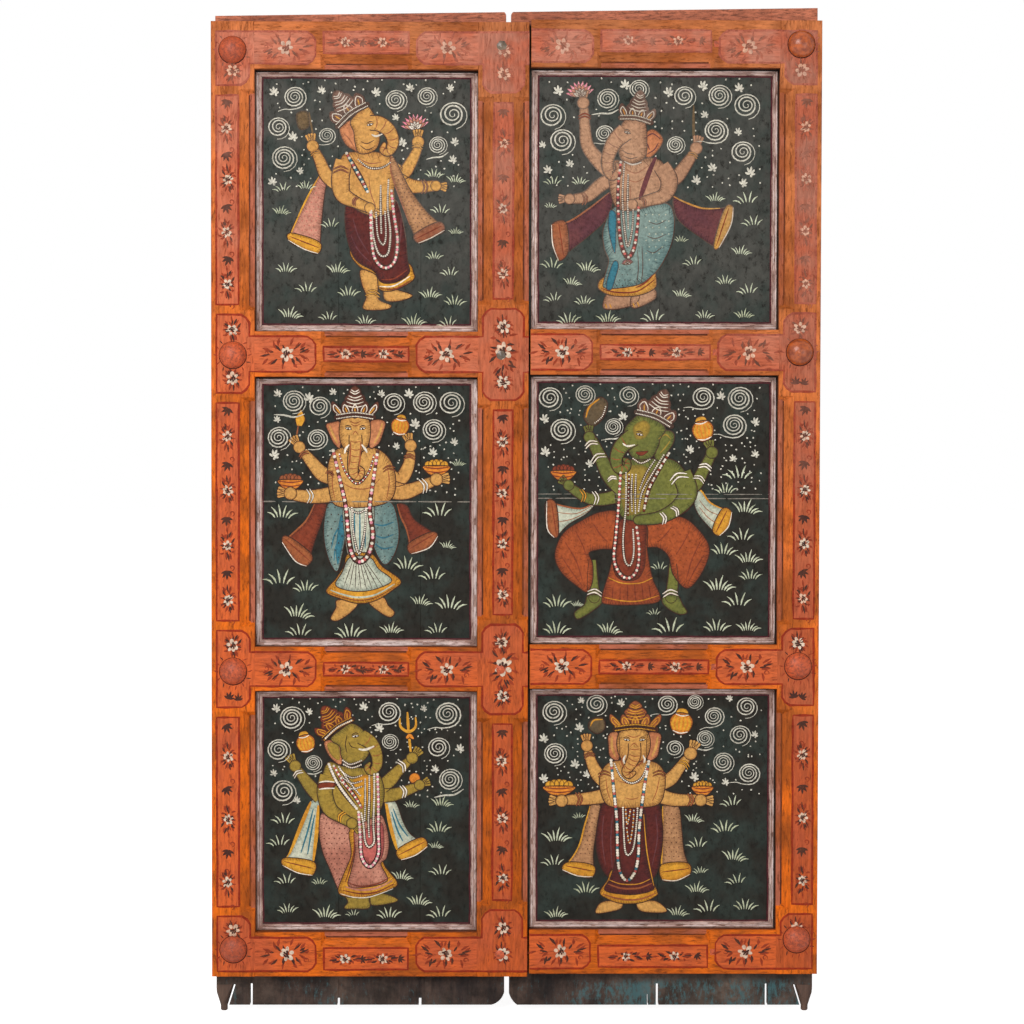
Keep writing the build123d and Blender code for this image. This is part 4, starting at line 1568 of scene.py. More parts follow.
# Each paint of the figures by its screen values: its colour and the colour of its patches.
figure_colours = {
    "ink": ((50, 25, 15), (66, 34, 20)),
    "skin_ochre": ((199, 147, 78), (174, 112, 54)),
    "skin_brown": ((172, 130, 100), (140, 96, 70)),
    "skin_green": ((108, 108, 46), (76, 84, 42)),
    "skin_olive": ((156, 126, 48), (116, 104, 44)),
    "shade_brown": ((152, 84, 46), (128, 66, 38)),
    "ear_pink": ((190, 122, 80), (160, 92, 58)),
    "cloth_maroon": ((86, 29, 22), (64, 24, 25)),
    "cloth_plum": ((98, 52, 52), (78, 40, 48)),
    "cloth_blue": ((120, 138, 130), (84, 112, 110)),
    "cloth_teal": ((52, 110, 124), (40, 88, 104)),
    "cloth_pale": ((190, 190, 168), (152, 164, 146)),
    "cloth_orange": ((158, 74, 34), (122, 54, 28)),
    "cloth_pink": ((190, 130, 108), (156, 92, 74)),
    "cloth_tan": ((176, 128, 88), (136, 92, 60)),
    "cloth_rust": ((124, 52, 28), (92, 36, 22)),
    "gold": ((208, 148, 44), (178, 112, 30)),
    "pearl": ((234, 222, 204), (196, 182, 160)),
    "coral": ((190, 98, 88), (140, 62, 62)),
    "lotus": ((214, 124, 140), (226, 176, 180)),
    "crown_brown": ((96, 52, 36), (66, 36, 28)),
    "pot_orange": ((212, 128, 40), (170, 84, 30)),
    "blade_brown": ((104, 82, 54), (78, 66, 48)),
}


def figure_paint(name):
    """One of the paints of the figures."""
    colour, patch = figure_colours[name.removesuffix("_shade")]
    if name.endswith("_shade"):
        colour = patch = [0.68 * part for part in patch]
    dusty = srgb(132, 112, 98) if name in ("ink", "pearl", "crown_brown", "shade_brown", "gold") else None
    patches = 0.4 if name.startswith("skin") else 0.7
    return paint_material(f"{name}_paint", srgb(*colour), srgb(*patch), patches=patches, dusty=dusty)


def draw_bead(painting):
    """A round bead or dab, standing a little proud."""
    painting.field("bead", circle(0, 0, 0.5, 7), 1, 0.7)


class Figure:
    """Draws one figure on the sheet of a panel, in layers of paint."""

    def __init__(self, place):
        self.column, self.row = place
        self.sheet = Sheet(panel_box(*place), sheet_edges[place])
        self.painting = Painting(f"{self.column}_{self.row}_figure", ground_y)
        self.outlines = figure_outlines.setdefault(place, [])
        self.dabs = {}
        self.count = 0

    def lifted(self, layer):
        """A layer raised by a hair for each shape, so that no two shapes lie in one plane."""
        self.count += 1
        return layer + 0.012 * (self.count % 16)

    def shape(self, paint, layer, points, line=0.5):
        """A field of paint with a dark line round it."""
        layer = self.lifted(layer)
        outline = rounded(points, True, 5)
        placed = self.sheet.line(outline)
        area = abs(turned_area(outline)) / 2
        depth = 0.6 * area / sum(math.dist(a, b) for a, b in pairs_round(outline))
        self.painting.field(figure_paint(paint), placed, layer, 1.0, min(2.6, depth) * self.sheet.unit)
        if line:
            self.ink_line(placed, line, layer + 0.1, True, 0.3)
            if area > 40:
                self.hatch(paint, layer, outline, min(5, depth))
        self.outlines.append(outline)

    def ink_line(self, placed, width, layer, closed, drop):
        """The dark line along the edge of a shape."""
        width *= 1.15
        self.painting.stroke(figure_paint("ink"), placed, width * self.sheet.unit, layer, closed, drop)

    def hatch(self, paint, layer, outline, reach):
        """Fine shading strokes from the outline of a shape inwards."""
        dice = random.Random(round(10 * outline[0][0]) + len(outline))
        side = math.copysign(1, turned_area(outline))
        travelled = 0.9
        for start, end in pairs_round(outline):
            length = math.dist(start, end)
            while length > 0 and travelled <= length:
                u, v = (a + (b - a) * travelled / length for a, b in zip(start, end))
                du, dv = (end[0] - start[0]) / length, (end[1] - start[1]) / length
                far, slant = reach * dice.uniform(0.4, 1.1), dice.uniform(-0.1, 0.6)
                tip = (u + far * (slant * du - side * dv), v + far * (side * du + slant * dv))
                self.shading(paint, layer, (u, v), tip)
                travelled += dice.uniform(1.1, 2.0)
            travelled -= length

    def shading(self, paint, layer, start, tip):
        """One fine stroke in a darker tone of a paint."""
        tone = figure_paint(f"{paint}_shade")
        widths = [0.34 * self.sheet.unit, 0.12 * self.sheet.unit]
        self.painting.stroke(tone, self.sheet.line([start, tip]), widths, layer + 0.06, False, 0.05)

    def limb(self, paint, layer, points, widths, line=0.5):
        """A long shape of changing width along a smooth line, open at its start and round at its end."""
        layer = self.lifted(layer)
        middle = rounded([(*point, width / 2) for point, width in zip(points, widths)], False, 5)
        last = len(middle) - 1
        rows = []
        for k, (u, v, half) in enumerate(middle):
            back, on = middle[max(k - 1, 0)], middle[min(k + 1, last)]
            turn = math.atan2(on[1] - back[1], on[0] - back[0])
            bend = 0.0
            if 0 < k < last:
                bend = math.atan2(on[1] - v, on[0] - u) - math.atan2(v - back[1], u - back[0])
                bend = (bend + math.pi) % math.tau - math.pi
            tight = 0.45 * (math.dist(back[:2], (u, v)) + math.dist((u, v), on[:2])) / max(abs(bend), 1e-6)
            left = min(half, tight) if bend < 0 else half
            right = min(half, tight) if bend > 0 else half
            across, down = math.sin(turn), -math.cos(turn)
            rows.append(((u + left * across, v + left * down), (u - right * across, v - right * down)))
        u, v, half = middle[-1]
        for angle in (0.5, 1.0, 1.4):
            on, wide = half * math.sin(angle), half * math.cos(angle)
            u1, v1 = u - on * down, v + on * across
            rows.append(((u1 + wide * across, v1 + wide * down), (u1 - wide * across, v1 - wide * down)))
        placed = [(self.sheet.at(*left), self.sheet.at(*right)) for left, right in rows]
        rim = min(2, 0.17 * sum(widths) / len(widths)) * self.sheet.unit
        self.painting.ribbon(figure_paint(paint), placed, layer, rim)
        if line:
            edge = [left for left, right in placed] + [right for left, right in placed[::-1]]
            self.ink_line(edge, line, layer + 0.3, False, 0.5)
        if line and max(widths) > 4:
            dice = random.Random(len(rows) + round(10 * points[0][0]))
            for left, right in rows[3:-2]:
                for start, end, share in ((left, right, 0.3), (right, left, 0.2)):
                    share *= dice.uniform(0.2, 1)
                    tip = [a + share * (b - a) for a, b in zip(start, end)]
                    self.shading(paint, layer + 0.2, start, tip)
        self.outlines.append([left for left, right in rows] + [right for left, right in rows[::-1]])

    def line(self, paint, layer, points, width=0.5):
        """A stroke that thins towards its ends."""
        path = rounded(points, False, 5)
        last = len(path) - 1
        widths = [
            width * self.sheet.unit * (0.5 + 0.6 * math.sin(math.pi * k / last)) for k in range(last + 1)
        ]
        self.painting.stroke(
            figure_paint(paint), self.sheet.line(path), widths, self.lifted(layer), False, 0.3)

    def lines(self, paint, layer, many, width=0.45):
        """Several strokes."""
        for points in many:
            self.line(paint, layer, points, width)

    def dab(self, paint, layer, u, v, size):
        """One round dab."""
        self.dabs.setdefault((paint, layer), []).append((*self.sheet.at(u, v), size * self.sheet.unit, 0))

    def beads(self, paints, layer, points, size=1.5, pitch=1.5):
        """Beads along a smooth line, in paints that take turns."""
        self.line("ink", layer - 0.3, points, 1.3 * size)
        path = rounded(points, False, 8)
        travelled, count = 0.0, 0
        for start, end in zip(path, path[1:]):
            length = math.dist(start, end)
            while travelled <= length and length > 0:
                share = travelled / length
                u, v = (a + (b - a) * share for a, b in zip(start, end))
                self.dab(paints[count % len(paints)], layer, u, v, size)
                travelled += 0.8 * pitch
                count += 1
            travelled -= length

    def pearls(self, layer, points, size, pitch=1.5):
        """Pearls along a smooth line."""
        self.beads(["pearl"], layer, points, size, pitch)

    def spots(self, paint, layer, outline, pitch, size):
        """Rows of dabs inside an outline."""
        low_u, high_u = min(p[0] for p in outline), max(p[0] for p in outline)
        low_v, high_v = min(p[1] for p in outline), max(p[1] for p in outline)
        for row in range(int((high_v - low_v) / pitch)):
            for column in range(int((high_u - low_u) / pitch)):
                u = low_u + (column + 0.5 + 0.5 * (row % 2)) * pitch
                v = low_v + (row + 0.6) * pitch
                if inside((u, v), outline):
                    self.dab(paint, layer, u, v, size)

    def hand(self, paint, layer, u, v, turn, size=3.4):
        """A hand: a round palm and four fingers pointing along a turn, measured clockwise from the right."""
        for k in range(4):
            angle = turn + (k - 1.5) * 0.24
            tip = towards(u, v, angle, 1.9 * size)
            self.limb(paint, layer, [(u, v), tip], [0.6 * size, 0.5 * size], 0.3)
        self.shape(paint, layer + 0.8, circle(u, v, size, 9), 0.35)

    def bangles(self, layer, points, width=0.5, paint="gold"):
        """A pair of lines across an arm, from one edge of it to the other."""
        (u0, v0), (u1, v1) = points
        du, dv = (v1 - v0) * 0.22, -(u1 - u0) * 0.22
        bulge = (0.5 * (u0 + u1) + du, 0.5 * (v0 + v1) + dv)
        for step in (0, 1):
            shift = (step * du, step * dv)
            line = [(p[0] + shift[0], p[1] + shift[1]) for p in ((u0, v0), bulge, (u1, v1))]
            self.line("ink", layer, line, width + 0.5)
            self.line(paint, layer + 0.4, line, width)

    def scarf(self, paint, layer, outline, hem, edge="gold"):
        """A hanging cloth end with a hem."""
        self.shape(paint, layer, outline)
        self.line(edge, layer + 0.4, outline[:4], 0.9)
        self.shape(edge, layer + 0.5, hem)
        middle = [
            (0.5 * (a[0] + b[0]), 0.5 * (a[1] + b[1])) for a, b in ((hem[0], hem[-1]), (hem[1], hem[2]))
        ]
        self.line("cloth_rust", layer + 1.0, middle, 0.6)
        self.line("pearl", layer + 1.0, hem[2:], 0.5)

    def crown(self, layer, left, right, rise, finial, lobes=3, paint="crown_brown", edge="pearl"):
        """A crown on a band between two points: lobes above it and a tiered finial in the middle."""
        along = (right[0] - left[0], right[1] - left[1])
        length = math.hypot(*along)
        up = (along[1] / length, -along[0] / length)

        def at(share, height):
            return left[0] + along[0] * share + up[0] * height, left[1] + along[1] * share + up[1] * height

        tiers = ((0.66, 0.0, 0.6), (0.5, 0.34, 0.82), (0.3, 0.66, 1.05))
        for k, (wide, low, high) in enumerate(tiers):
            low, high = (0.6 * rise + (finial - 0.6 * rise) * share for share in (low, high))
            self.shape(paint, layer + 0.25 * k, [
                at(0.5 - wide / 2, low), at(0.5 - wide * 0.55, (low + high) / 2), at(0.5, high),
                at(0.5 + wide * 0.55, (low + high) / 2), at(0.5 + wide / 2, low),
            ], 0.4)
            for share in (0.3, 0.55):
                height, half = low + share * (high - low), wide * (0.56 - 0.3 * share)
                bow = [at(0.5 - half, height), at(0.5, height - 0.14 * rise), at(0.5 + half, height)]
                self.line(edge, layer + 0.8, bow, 0.55)
        for k in range(lobes):
            a, b = k / lobes - 0.03, (k + 1) / lobes + 0.03
            lean = (k - (lobes - 1) / 2) * 0.14
            middle = (a + b) / 2
            petal = [
                at(a + 0.06, 0.1 * rise), at(a + lean * 0.6, 0.6 * rise), at(middle + lean, 1.08 * rise),
                at(b + lean * 0.6, 0.6 * rise), at(b - 0.06, 0.1 * rise),
            ]
            self.shape(paint, layer + 0.6, petal, 0.4)
            heart = at(middle + lean * 0.5, 0.5 * rise)
            inner = [(heart[0] * 0.35 + p[0] * 0.65, heart[1] * 0.35 + p[1] * 0.65) for p in petal]
            self.line(edge, layer + 1.2, inner, 0.5)
            self.line("gold", layer + 1.2, [at(middle, 0.2 * rise), at(middle + lean * 0.7, 0.7 * rise)], 0.7)
        band = [at(-0.05, -0.08 * rise), at(0.5, 0.1 * rise), at(1.05, -0.08 * rise),
                at(1.07, 0.24 * rise), at(0.5, 0.4 * rise), at(-0.07, 0.24 * rise)]
        self.shape("ink", layer + 1.5, band, 0.3)
        for height in (0.0, 0.24):
            row = [at(-0.05, height * rise), at(0.5, (height + 0.15) * rise), at(1.05, height * rise)]
            self.beads([edge], layer + 1.9, row, 0.95, 1.1)

    def bowl(self, layer, u, v, width, fill="gold"):
        """A bowl heaped with sweets."""
        half = width / 2
        for k in range(5):
            share = (k + 0.5) / 5
            sweet_u, sweet_v = u - half * 0.8 + width * 0.8 * share, v - 1.2 - 1.5 * math.sin(math.pi * share)
            self.shape(fill, layer, circle(sweet_u, sweet_v, 0.16 * width, 7), 0.3)
        self.shape("pot_orange", layer + 0.5, [
            (u - half, v - 1), (u - half * 0.86, v + 2), (u - half * 0.4, v + 4.2), (u + half * 0.4, v + 4.2),
            (u + half * 0.86, v + 2), (u + half, v - 1),
        ])
        self.lines("cloth_rust", layer + 0.9, [
            [(u - half, v - 0.4), (u, v + 0.4), (u + half, v - 0.4)],
            [(u - half * 0.9, v + 1.6), (u, v + 2.6), (u + half * 0.9, v + 1.6)],
        ], 0.7)

    def pot(self, layer, u, v, size, tilt=0.0):
        """A fluted pot with a lid, leaning by a tilt."""
        def at(du, dv):
            return (u + size * (du * math.cos(tilt) - dv * math.sin(tilt)),
                    v + size * (du * math.sin(tilt) + dv * math.cos(tilt)))
        self.shape("gold", layer, [at(-0.3, -0.5), at(-0.2, -0.8), at(0.2, -0.8), at(0.3, -0.5)], 0.4)
        self.shape("pot_orange", layer + 0.2, [
            at(-0.3, -0.55), at(-0.6, -0.2), at(-0.5, 0.3), at(-0.2, 0.55),
            at(0.2, 0.55), at(0.5, 0.3), at(0.6, -0.2), at(0.3, -0.55),
        ])
        for k in range(5):
            du = (k - 2) * 0.2
            self.line(
                "gold", layer + 0.7, [at(du * 0.8, -0.4), at(du * 1.15, 0), at(du * 0.8, 0.35)], 0.12 * size)
        self.line("pearl", layer + 0.8, [at(-0.34, -0.5), at(0, -0.42), at(0.34, -0.5)], 0.6)
        self.line("pearl", layer + 0.8, [at(-0.4, 0.4), at(0, 0.5), at(0.4, 0.4)], 0.6)

    def lotus(self, layer, u, v, size):
        """An open lotus: pointed petals in three rows."""
        rows = ((9, 1.0, "lotus"), (7, 0.78, "cloth_pink"), (5, 0.5, "pearl"))
        for row, (count, length, paint) in enumerate(rows):
            for k in range(count):
                turn = math.pi * (1.05 + 0.9 * (k + 0.5) / count) - 0.05 * math.pi
                tip = towards(u, v, turn, size * length)
                self.limb(paint, layer + 0.6 * row, [(u, v), ((u + tip[0]) / 2, (v + tip[1]) / 2), tip],
                          [0.1 * size, 0.3 * size, 0.06 * size], 0.3)

    def eye(self, layer, u, v, size=1.0, lean=0.0):
        """A long dark eye with a pale corner and a brow."""
        reach = 1.9 * size
        self.limb("pearl", layer, [(u - reach, v + lean), (u, v - 0.1), (u + reach, v - lean)],
                  [0.2, 1.5 * size, 0.2], 0.35)
        self.dab("ink", layer + 0.6, u, v, 1.3 * size)
        brow = [(u - reach * 1.1, v - 1.0 + lean), (u, v - 1.9 * size), (u + reach * 1.1, v - 1.0 - lean)]
        self.line("ink", layer + 0.4, brow, 0.5)

    def rings(self, layer, points, widths, count, paint="shade_brown"):
        """Wrinkles across a trunk that follows points."""
        middle = rounded([(*point, width / 2) for point, width in zip(points, widths)], False, 6)
        for k in range(1, count):
            index = k * (len(middle) - 1) // count
            u, v, half = middle[index]
            back, on = middle[max(index - 1, 0)], middle[min(index + 1, len(middle) - 1)]
            turn = math.atan2(on[1] - back[1], on[0] - back[0])
            side = (half * 0.8 * math.sin(turn), -half * 0.8 * math.cos(turn))
            bow = (0.6 * math.cos(turn), 0.6 * math.sin(turn))
            wrinkle = [(u + side[0], v + side[1]), (u + bow[0], v + bow[1]), (u - side[0], v - side[1])]
            self.line(paint, layer, wrinkle, 0.5)

    def trunk(self, paint, layer, points, widths, count=9):
        """A trunk with wrinkles."""
        self.limb(paint, layer, points, widths)
        self.rings(layer + 0.5, points, widths, count)

    def scratch(self, v, start, end, width):
        """A pale scratch across the panel, over the figure from start to end."""
        dice = random.Random(round(10 * v))
        sheet = self.sheet
        paint = paint_material("scratch_paint", tuple(bpy.context.scene.door_colours.scratch), wear=0.5)
        for u0, u1, level in ((sheet.u0 + 1, start, 1), (start, end, 6.6), (end, sheet.u1 - 1, 1)):
            drop = 1.0 if level == 1 else 0.5
            ends = sheet.at(u0, v), sheet.at(u1, v)
            broken_line(self.painting, paint, *ends, width * sheet.unit, level, dice, 9 * MM, drop)

    def finish(self):
        """Stamps the beads and makes the object."""
        motif = motif_object("bead", draw_bead, 0.2)
        for (paint, layer), places in self.dabs.items():
            material = figure_paint(paint)
            self.painting.add_mesh(stamped(motif, material, places, ground_y - layer * coat), material)
        self.painting.finish(f"{self.column}_leaf", "painted_boards")


# In the drawings that follow, points count across and down on the sheet, and layers count coats of paint:
# about 2 for what hangs behind, 3 for raised arms and feet, 4 for the cloth, 5 for the body, 6 for what lies
# on it, 7 for the head and 8 for the face.


def paint_upper_left(f):
    """Ochre, in a maroon cloth, turned to the right, with a lotus."""
    skin = "skin_ochre"
    f.scarf("cloth_pink", 2, [
        (39, 63.5), (34, 72), (28, 84), (21, 100), (29.5, 105), (37.5, 107.5), (39.5, 90), (41, 76),
        (42.5, 65.5),
    ], [
        (22.5, 96.5), (38.3, 101.5), (37.5, 108), (29.5, 105.5), (20.8, 100.5),
    ])
    f.spots("coral", 2.6, [(38, 70), (30, 86), (26, 96), (37, 99), (39, 80)], 2.6, 0.8)
    f.shape("blade_brown", 1.5, [(25.5, 30), (31.5, 29), (32.5, 37), (27, 38.5)], 0.3)
    f.line("blade_brown", 1.5, [(32.5, 29), (34, 38), (35.5, 47)], 1.0)
    f.limb(skin, 3, [(48, 69), (42, 64), (38.5, 56), (36, 51)], [8, 7.5, 6, 5])
    f.hand(skin, 3.4, 34.5, 48, UP - 0.2)
    f.bangles(4.2, [(33.5, 53.5), (39, 52)], 0.5)
    f.limb(skin, 3, [(79, 60), (85, 63), (89.5, 57), (93, 50)], [8, 7.5, 6.5, 5])
    f.lotus(2.4, 92, 38, 8)
    f.hand(skin, 3.4, 93.5, 45.5, UP)
    f.bangles(4.2, [(90, 48.5), (96, 49.5)], 0.7)
    f.limb(skin, 3, [(82, 67), (89, 70), (96, 70.5), (102, 70)], [9, 8, 6.5, 6])
    f.hand(skin, 3.6, 103.5, 70, 0.1, 3)
    f.bangles(4.2, [(95, 66.5), (95.5, 74.5)], 0.5, "shade_brown")
    f.shape(skin, 3, [
        (61.5, 117), (71, 120), (71, 130), (72, 134), (78.5, 137), (75, 139.3), (63, 139), (64.5, 132),
        (62, 125),
    ])
    f.shape(skin, 2.6, [(75, 127), (83, 128.5), (90.5, 131.5), (83, 134.5), (75, 134)])
    f.bangles(3.8, [(64, 131.5), (72, 132.5)], 0.6)
    f.shape("gold", 3.6, [
        (55.5, 108), (61, 115.5), (70, 120), (72, 128), (80, 128.5), (90.5, 123), (91, 118.5), (86, 112),
        (60, 104),
    ])
    f.shape("cloth_maroon", 4, [
        (53.5, 80.5), (62, 84), (72, 86), (80, 78), (83.5, 84), (86.5, 98), (87.5, 111), (88.5, 119),
        (81, 124), (73, 124), (69, 118), (61, 113.5), (56.5, 108), (53, 95),
    ])
    f.line("pearl", 4.6, [(72, 126.3), (80, 126), (89, 120.5)], 0.7)
    f.lines("cloth_rust", 4.6, [
        [(73, 122.5), (80, 122), (87.5, 117)], [(72.5, 127.5), (81, 127.6), (90, 122.6)],
    ], 0.7)
    f.lines("cloth_plum", 4.5, [
        [(57, 88), (60, 98), (66, 108)], [(84, 88), (83.5, 100), (80, 112)],
        [(56, 98), (60, 106), (67, 113)],
    ], 0.7)
    f.shape(skin, 5, [
        (51, 53.5), (60, 51), (72, 51.5), (79, 55), (81, 64), (80, 72), (80, 82), (72, 87), (62, 85),
        (55, 79), (50, 66),
    ])
    f.scarf("cloth_tan", 5.4, [
        (78.3, 53), (78.3, 62), (83, 76), (89, 92), (94, 101.5), (101, 98.5), (108, 94.5), (98, 84),
        (89, 72), (82, 58),
    ], [
        (91.5, 97), (105, 90), (108.3, 94.8), (101, 99), (93.8, 102),
    ], "shade_brown")
    f.spots("crown_brown", 6.0, [
        (80, 58), (82, 70), (90, 90), (93, 95), (103, 89), (96, 83), (88, 72),
    ], 2.4, 0.8)
    f.limb(skin, 6, [(52, 56), (50, 66), (51.5, 75), (59, 79.5), (66, 82.5)], [9.5, 10, 9, 6.5, 5.5])
    f.hand(skin, 6.5, 66.5, 82.5, 0.7, 3)
    f.bangles(7, [(46, 63), (54.5, 63)], 0.6, "shade_brown")
    f.bangles(7, [(58.5, 81.5), (60, 76.5)], 0.6, "shade_brown")
    f.beads(["pearl", "coral", "pearl", "cloth_teal"], 6.4, [
        (53.5, 52), (58, 60), (62, 67), (65.5, 74),
    ], 2.2, 1.9)
    f.pearls(7, [
        (67.5, 84), (68.5, 98), (71, 107), (74, 109.5), (77, 107), (78, 96), (76.5, 82), (77, 66),
    ], 1.3)
    f.pearls(7, [(70, 85), (71, 98), (74, 103), (75.5, 98), (75, 84)], 1.1, 1.4)
    f.pearls(7, [(72.6, 70), (72.6, 84), (73, 97)], 1.2)
    f.pearls(6.4, [(60, 55.5), (66, 60), (73, 60), (78, 57)], 1.1)
    f.beads(["pearl", "lotus", "pearl", "coral"], 6.7, [
        (67, 85), (67.5, 100), (69.5, 111), (75, 116), (80.5, 112), (82, 100), (80, 86), (78.5, 72),
    ], 2.1, 1.8)
    f.lines("shade_brown", 5.6, [
        [(58, 56), (65, 60), (73, 60), (78, 57)], [(60, 54.5), (66, 57.5), (73, 57)],
        [(66, 66), (67, 74), (70, 82)],
    ], 0.5)
    f.shape("ear_pink", 7, [
        (49.5, 39), (52, 36), (56, 33.5), (60, 38), (60.5, 50.5), (57, 50), (52.5, 46.5),
    ])
    f.line("shade_brown", 7.5, [(52, 41), (55, 44), (58, 49)], 0.6)
    f.shape(skin, 7.4, [
        (57.5, 40), (55.5, 35), (58, 31), (62, 27.5), (65.5, 26), (69, 30.5), (71, 36), (72, 44),
        (70, 49.5), (65, 52), (60, 51.5), (58, 45),
    ])
    f.trunk(skin, 7.9, [
        (66.5, 35), (72, 35.5), (77.5, 39.5), (79.5, 46), (77, 51), (73.8, 50), (74.5, 47),
    ], [8, 8.5, 7.5, 6.5, 5, 4, 2.5])
    f.line("pearl", 8.6, [(67.5, 41.5), (70, 42.4), (73.5, 41.2)], 1.0)
    f.lines("ink", 8.6, [[(61, 47.5), (65, 50), (69.5, 48)], [(61.5, 45.5), (65, 46.5), (69, 44.5)]], 0.5)
    f.eye(8.6, 66.5, 36, 0.9, 0.4)
    f.crown(7.8, (49.8, 37), (64.5, 26), 9, 17)


def paint_upper_right(f):
    """Brown, in a light blue cloth, turned to the left, with a raised lotus."""
    skin = "skin_brown"
    f.scarf("cloth_plum", 2, [
        (50, 74), (40, 82), (28, 90), (18, 92), (19, 103), (22, 112), (27, 107.5), (40, 97), (49, 88),
        (52, 78),
    ], [
        (26, 90.5), (27.5, 106.5), (22, 112), (18.7, 103), (18, 92),
    ], "shade_brown")
    f.scarf("cloth_plum", 2, [
        (86, 76), (92, 79), (102, 82.5), (112, 82.5), (119, 82), (117.5, 92), (111.5, 104), (100, 98),
        (88, 88),
    ], [
        (114.5, 82.5), (108.5, 102.5), (111.5, 104.5), (118, 92), (119.3, 82),
    ])
    f.limb(skin, 3, [(50, 62), (44, 56), (38, 48), (36.5, 38), (36, 28)], [8, 8, 7, 6, 5])
    f.lotus(2.4, 34, 20, 8)
    f.hand(skin, 3.4, 35.5, 24, UP)
    f.bangles(4.2, [(32.8, 33), (39.8, 33)], 0.6, "cloth_rust")
    f.limb(skin, 3, [(52, 66), (45, 70), (38, 76), (31, 77.5)], [8, 7.5, 6.5, 5.5])
    f.hand(skin, 3.4, 28, 77.5, math.pi, 3)
    f.bangles(4.2, [(34.5, 74), (35, 81)], 0.6, "shade_brown")
    f.limb(skin, 3, [(80, 67), (87, 65.5), (93, 58), (97, 52)], [9, 8, 6.5, 5])
    f.line("blade_brown", 1.5, [(97, 25), (97, 38), (97.5, 50)], 1.4)
    f.hand(skin, 3.4, 98.5, 49, UP + 0.2)
    f.bangles(4.2, [(93.5, 53), (99, 55)], 0.5)
    f.shape(skin, 2.6, [(50, 130), (60, 130), (67, 131), (65, 136), (56, 138.8), (48, 139), (47, 135.5)])
    f.shape(skin, 3, [(65, 129), (75, 127.5), (76.3, 132.5), (70.5, 136.5), (64, 138.5), (62, 135)])
    f.lines("gold", 3.5, [
        [(48, 136), (49, 138.5)], [(50.5, 136), (51.5, 138.5)], [(63.5, 135.5), (64.5, 138)],
        [(66, 135), (67, 137.5)],
    ], 0.7)
    f.shape("gold", 3.6, [
        (44, 127), (48, 121), (62, 124), (74, 117), (76.5, 122), (75.5, 127.5), (66, 131.5), (52, 131.5),
    ])
    f.shape("cloth_blue", 4, [
        (53, 82), (62, 84), (76, 80), (84, 81), (86.5, 90), (85, 102), (80, 113), (74.5, 120), (66, 125.5),
        (48.5, 127.5), (47.5, 122), (50, 112), (47.5, 105), (47, 94),
    ])
    f.shape("cloth_teal", 4.4, [(50.5, 84), (54, 86), (54, 98), (53.5, 108), (51, 101), (49.5, 92)], 0.3)
    f.shape("cloth_teal", 4.4, [
        (53, 112), (55.5, 114), (54, 121), (51.5, 128), (48.5, 127), (50, 119),
    ], 0.3)
    f.spots("cloth_pale", 4.6, [(69, 86), (84, 84), (84, 100), (78, 112), (70, 116)], 3.6, 1.0)
    f.spots("ink", 4.6, [(57, 112), (63, 112), (63, 126), (53, 127)], 3.0, 0.7)
    f.lines("ink", 4.6, [
        [(72, 90), (77, 91.5), (82, 89)], [(71, 98), (76, 99.5), (82, 97)],
        [(71, 106), (75, 107.5), (80, 104)], [(66, 106), (66.5, 116), (65.5, 126)],
        [(68.5, 104), (69, 116), (68, 125)],
    ], 0.45)
    f.lines("cloth_rust", 4.6, [
        [(46, 127.5), (54, 129.6), (66, 129), (75.5, 122.5)], [(65, 127), (70, 124.5), (75, 119.5)],
    ], 0.8)
    f.shape(skin, 5, [
        (53, 56), (62, 57), (72, 54.5), (79, 56.5), (83, 64), (82, 75), (76, 80), (63, 84), (54, 82),
        (50.5, 72), (50, 62),
    ])
    f.limb(skin, 6, [(79, 59), (83.5, 67), (81, 75), (73, 78), (65, 80)], [9, 9.5, 8, 6.5, 5.5])
    f.hand(skin, 6.5, 63, 80.5, math.pi - 0.2, 3)
    f.bangles(7, [(67.5, 77), (69, 82)], 0.6, "shade_brown")
    f.line("cloth_plum", 6, [(76, 54), (72.5, 62), (69, 72), (67, 78)], 2.6)
    f.beads(["pearl", "coral", "cloth_plum"], 6.9, [
        (56.5, 57), (55, 72), (55.5, 90), (57, 103), (60.5, 110), (64, 105), (66, 92), (66.5, 82),
    ], 2.0, 1.9)
    f.pearls(6.9, [(58.5, 58), (57.5, 76), (58.5, 92), (60.5, 104), (63, 94), (63.5, 83)], 1.1)
    f.pearls(6.9, [(60.6, 64), (60.4, 78), (60.8, 94)], 1.1)
    f.lotus(7, 60.5, 114, 3.2)
    f.lines("shade_brown", 5.6, [
        [(58, 60), (65, 63), (73, 58)], [(57, 64), (65, 68), (74, 62)], [(62, 70), (62, 78)],
    ], 0.5)
    f.shape("ear_pink", 7, [(67.5, 44), (71, 40), (75, 38.8), (80, 44), (77, 50.5), (72, 54.5), (68.5, 51)])
    f.lines("cloth_plum", 7.5, [
        [(69.5, 44), (74, 41), (78.5, 44)], [(77.5, 46), (75, 50), (71, 52.5)], [(71, 46), (72.5, 50)],
    ], 0.6)
    f.shape(skin, 7.4, [
        (56.5, 37), (60, 32.5), (66, 31.5), (70, 35), (71, 44), (70, 54), (62.5, 58), (56.5, 55), (55, 46),
    ])
    f.trunk(skin, 7.9, [
        (59, 40), (53.5, 45), (50, 52), (49, 59), (51.5, 64.5), (55.3, 62), (54.5, 58.5),
    ], [10, 9, 7.5, 6.5, 5.5, 4, 2.5])
    f.line("pearl", 8.6, [(58.5, 56.5), (63, 58.3), (68, 57)], 0.8)
    f.lines("ink", 8.6, [[(57, 50), (60, 52), (64, 52.5)], [(58, 53.5), (62, 55), (66, 54)]], 0.5)
    f.eye(8.6, 60, 40.5, 0.9, -0.4)
    f.crown(7.8, (57, 33), (72.5, 35.5), 8, 17, 4)


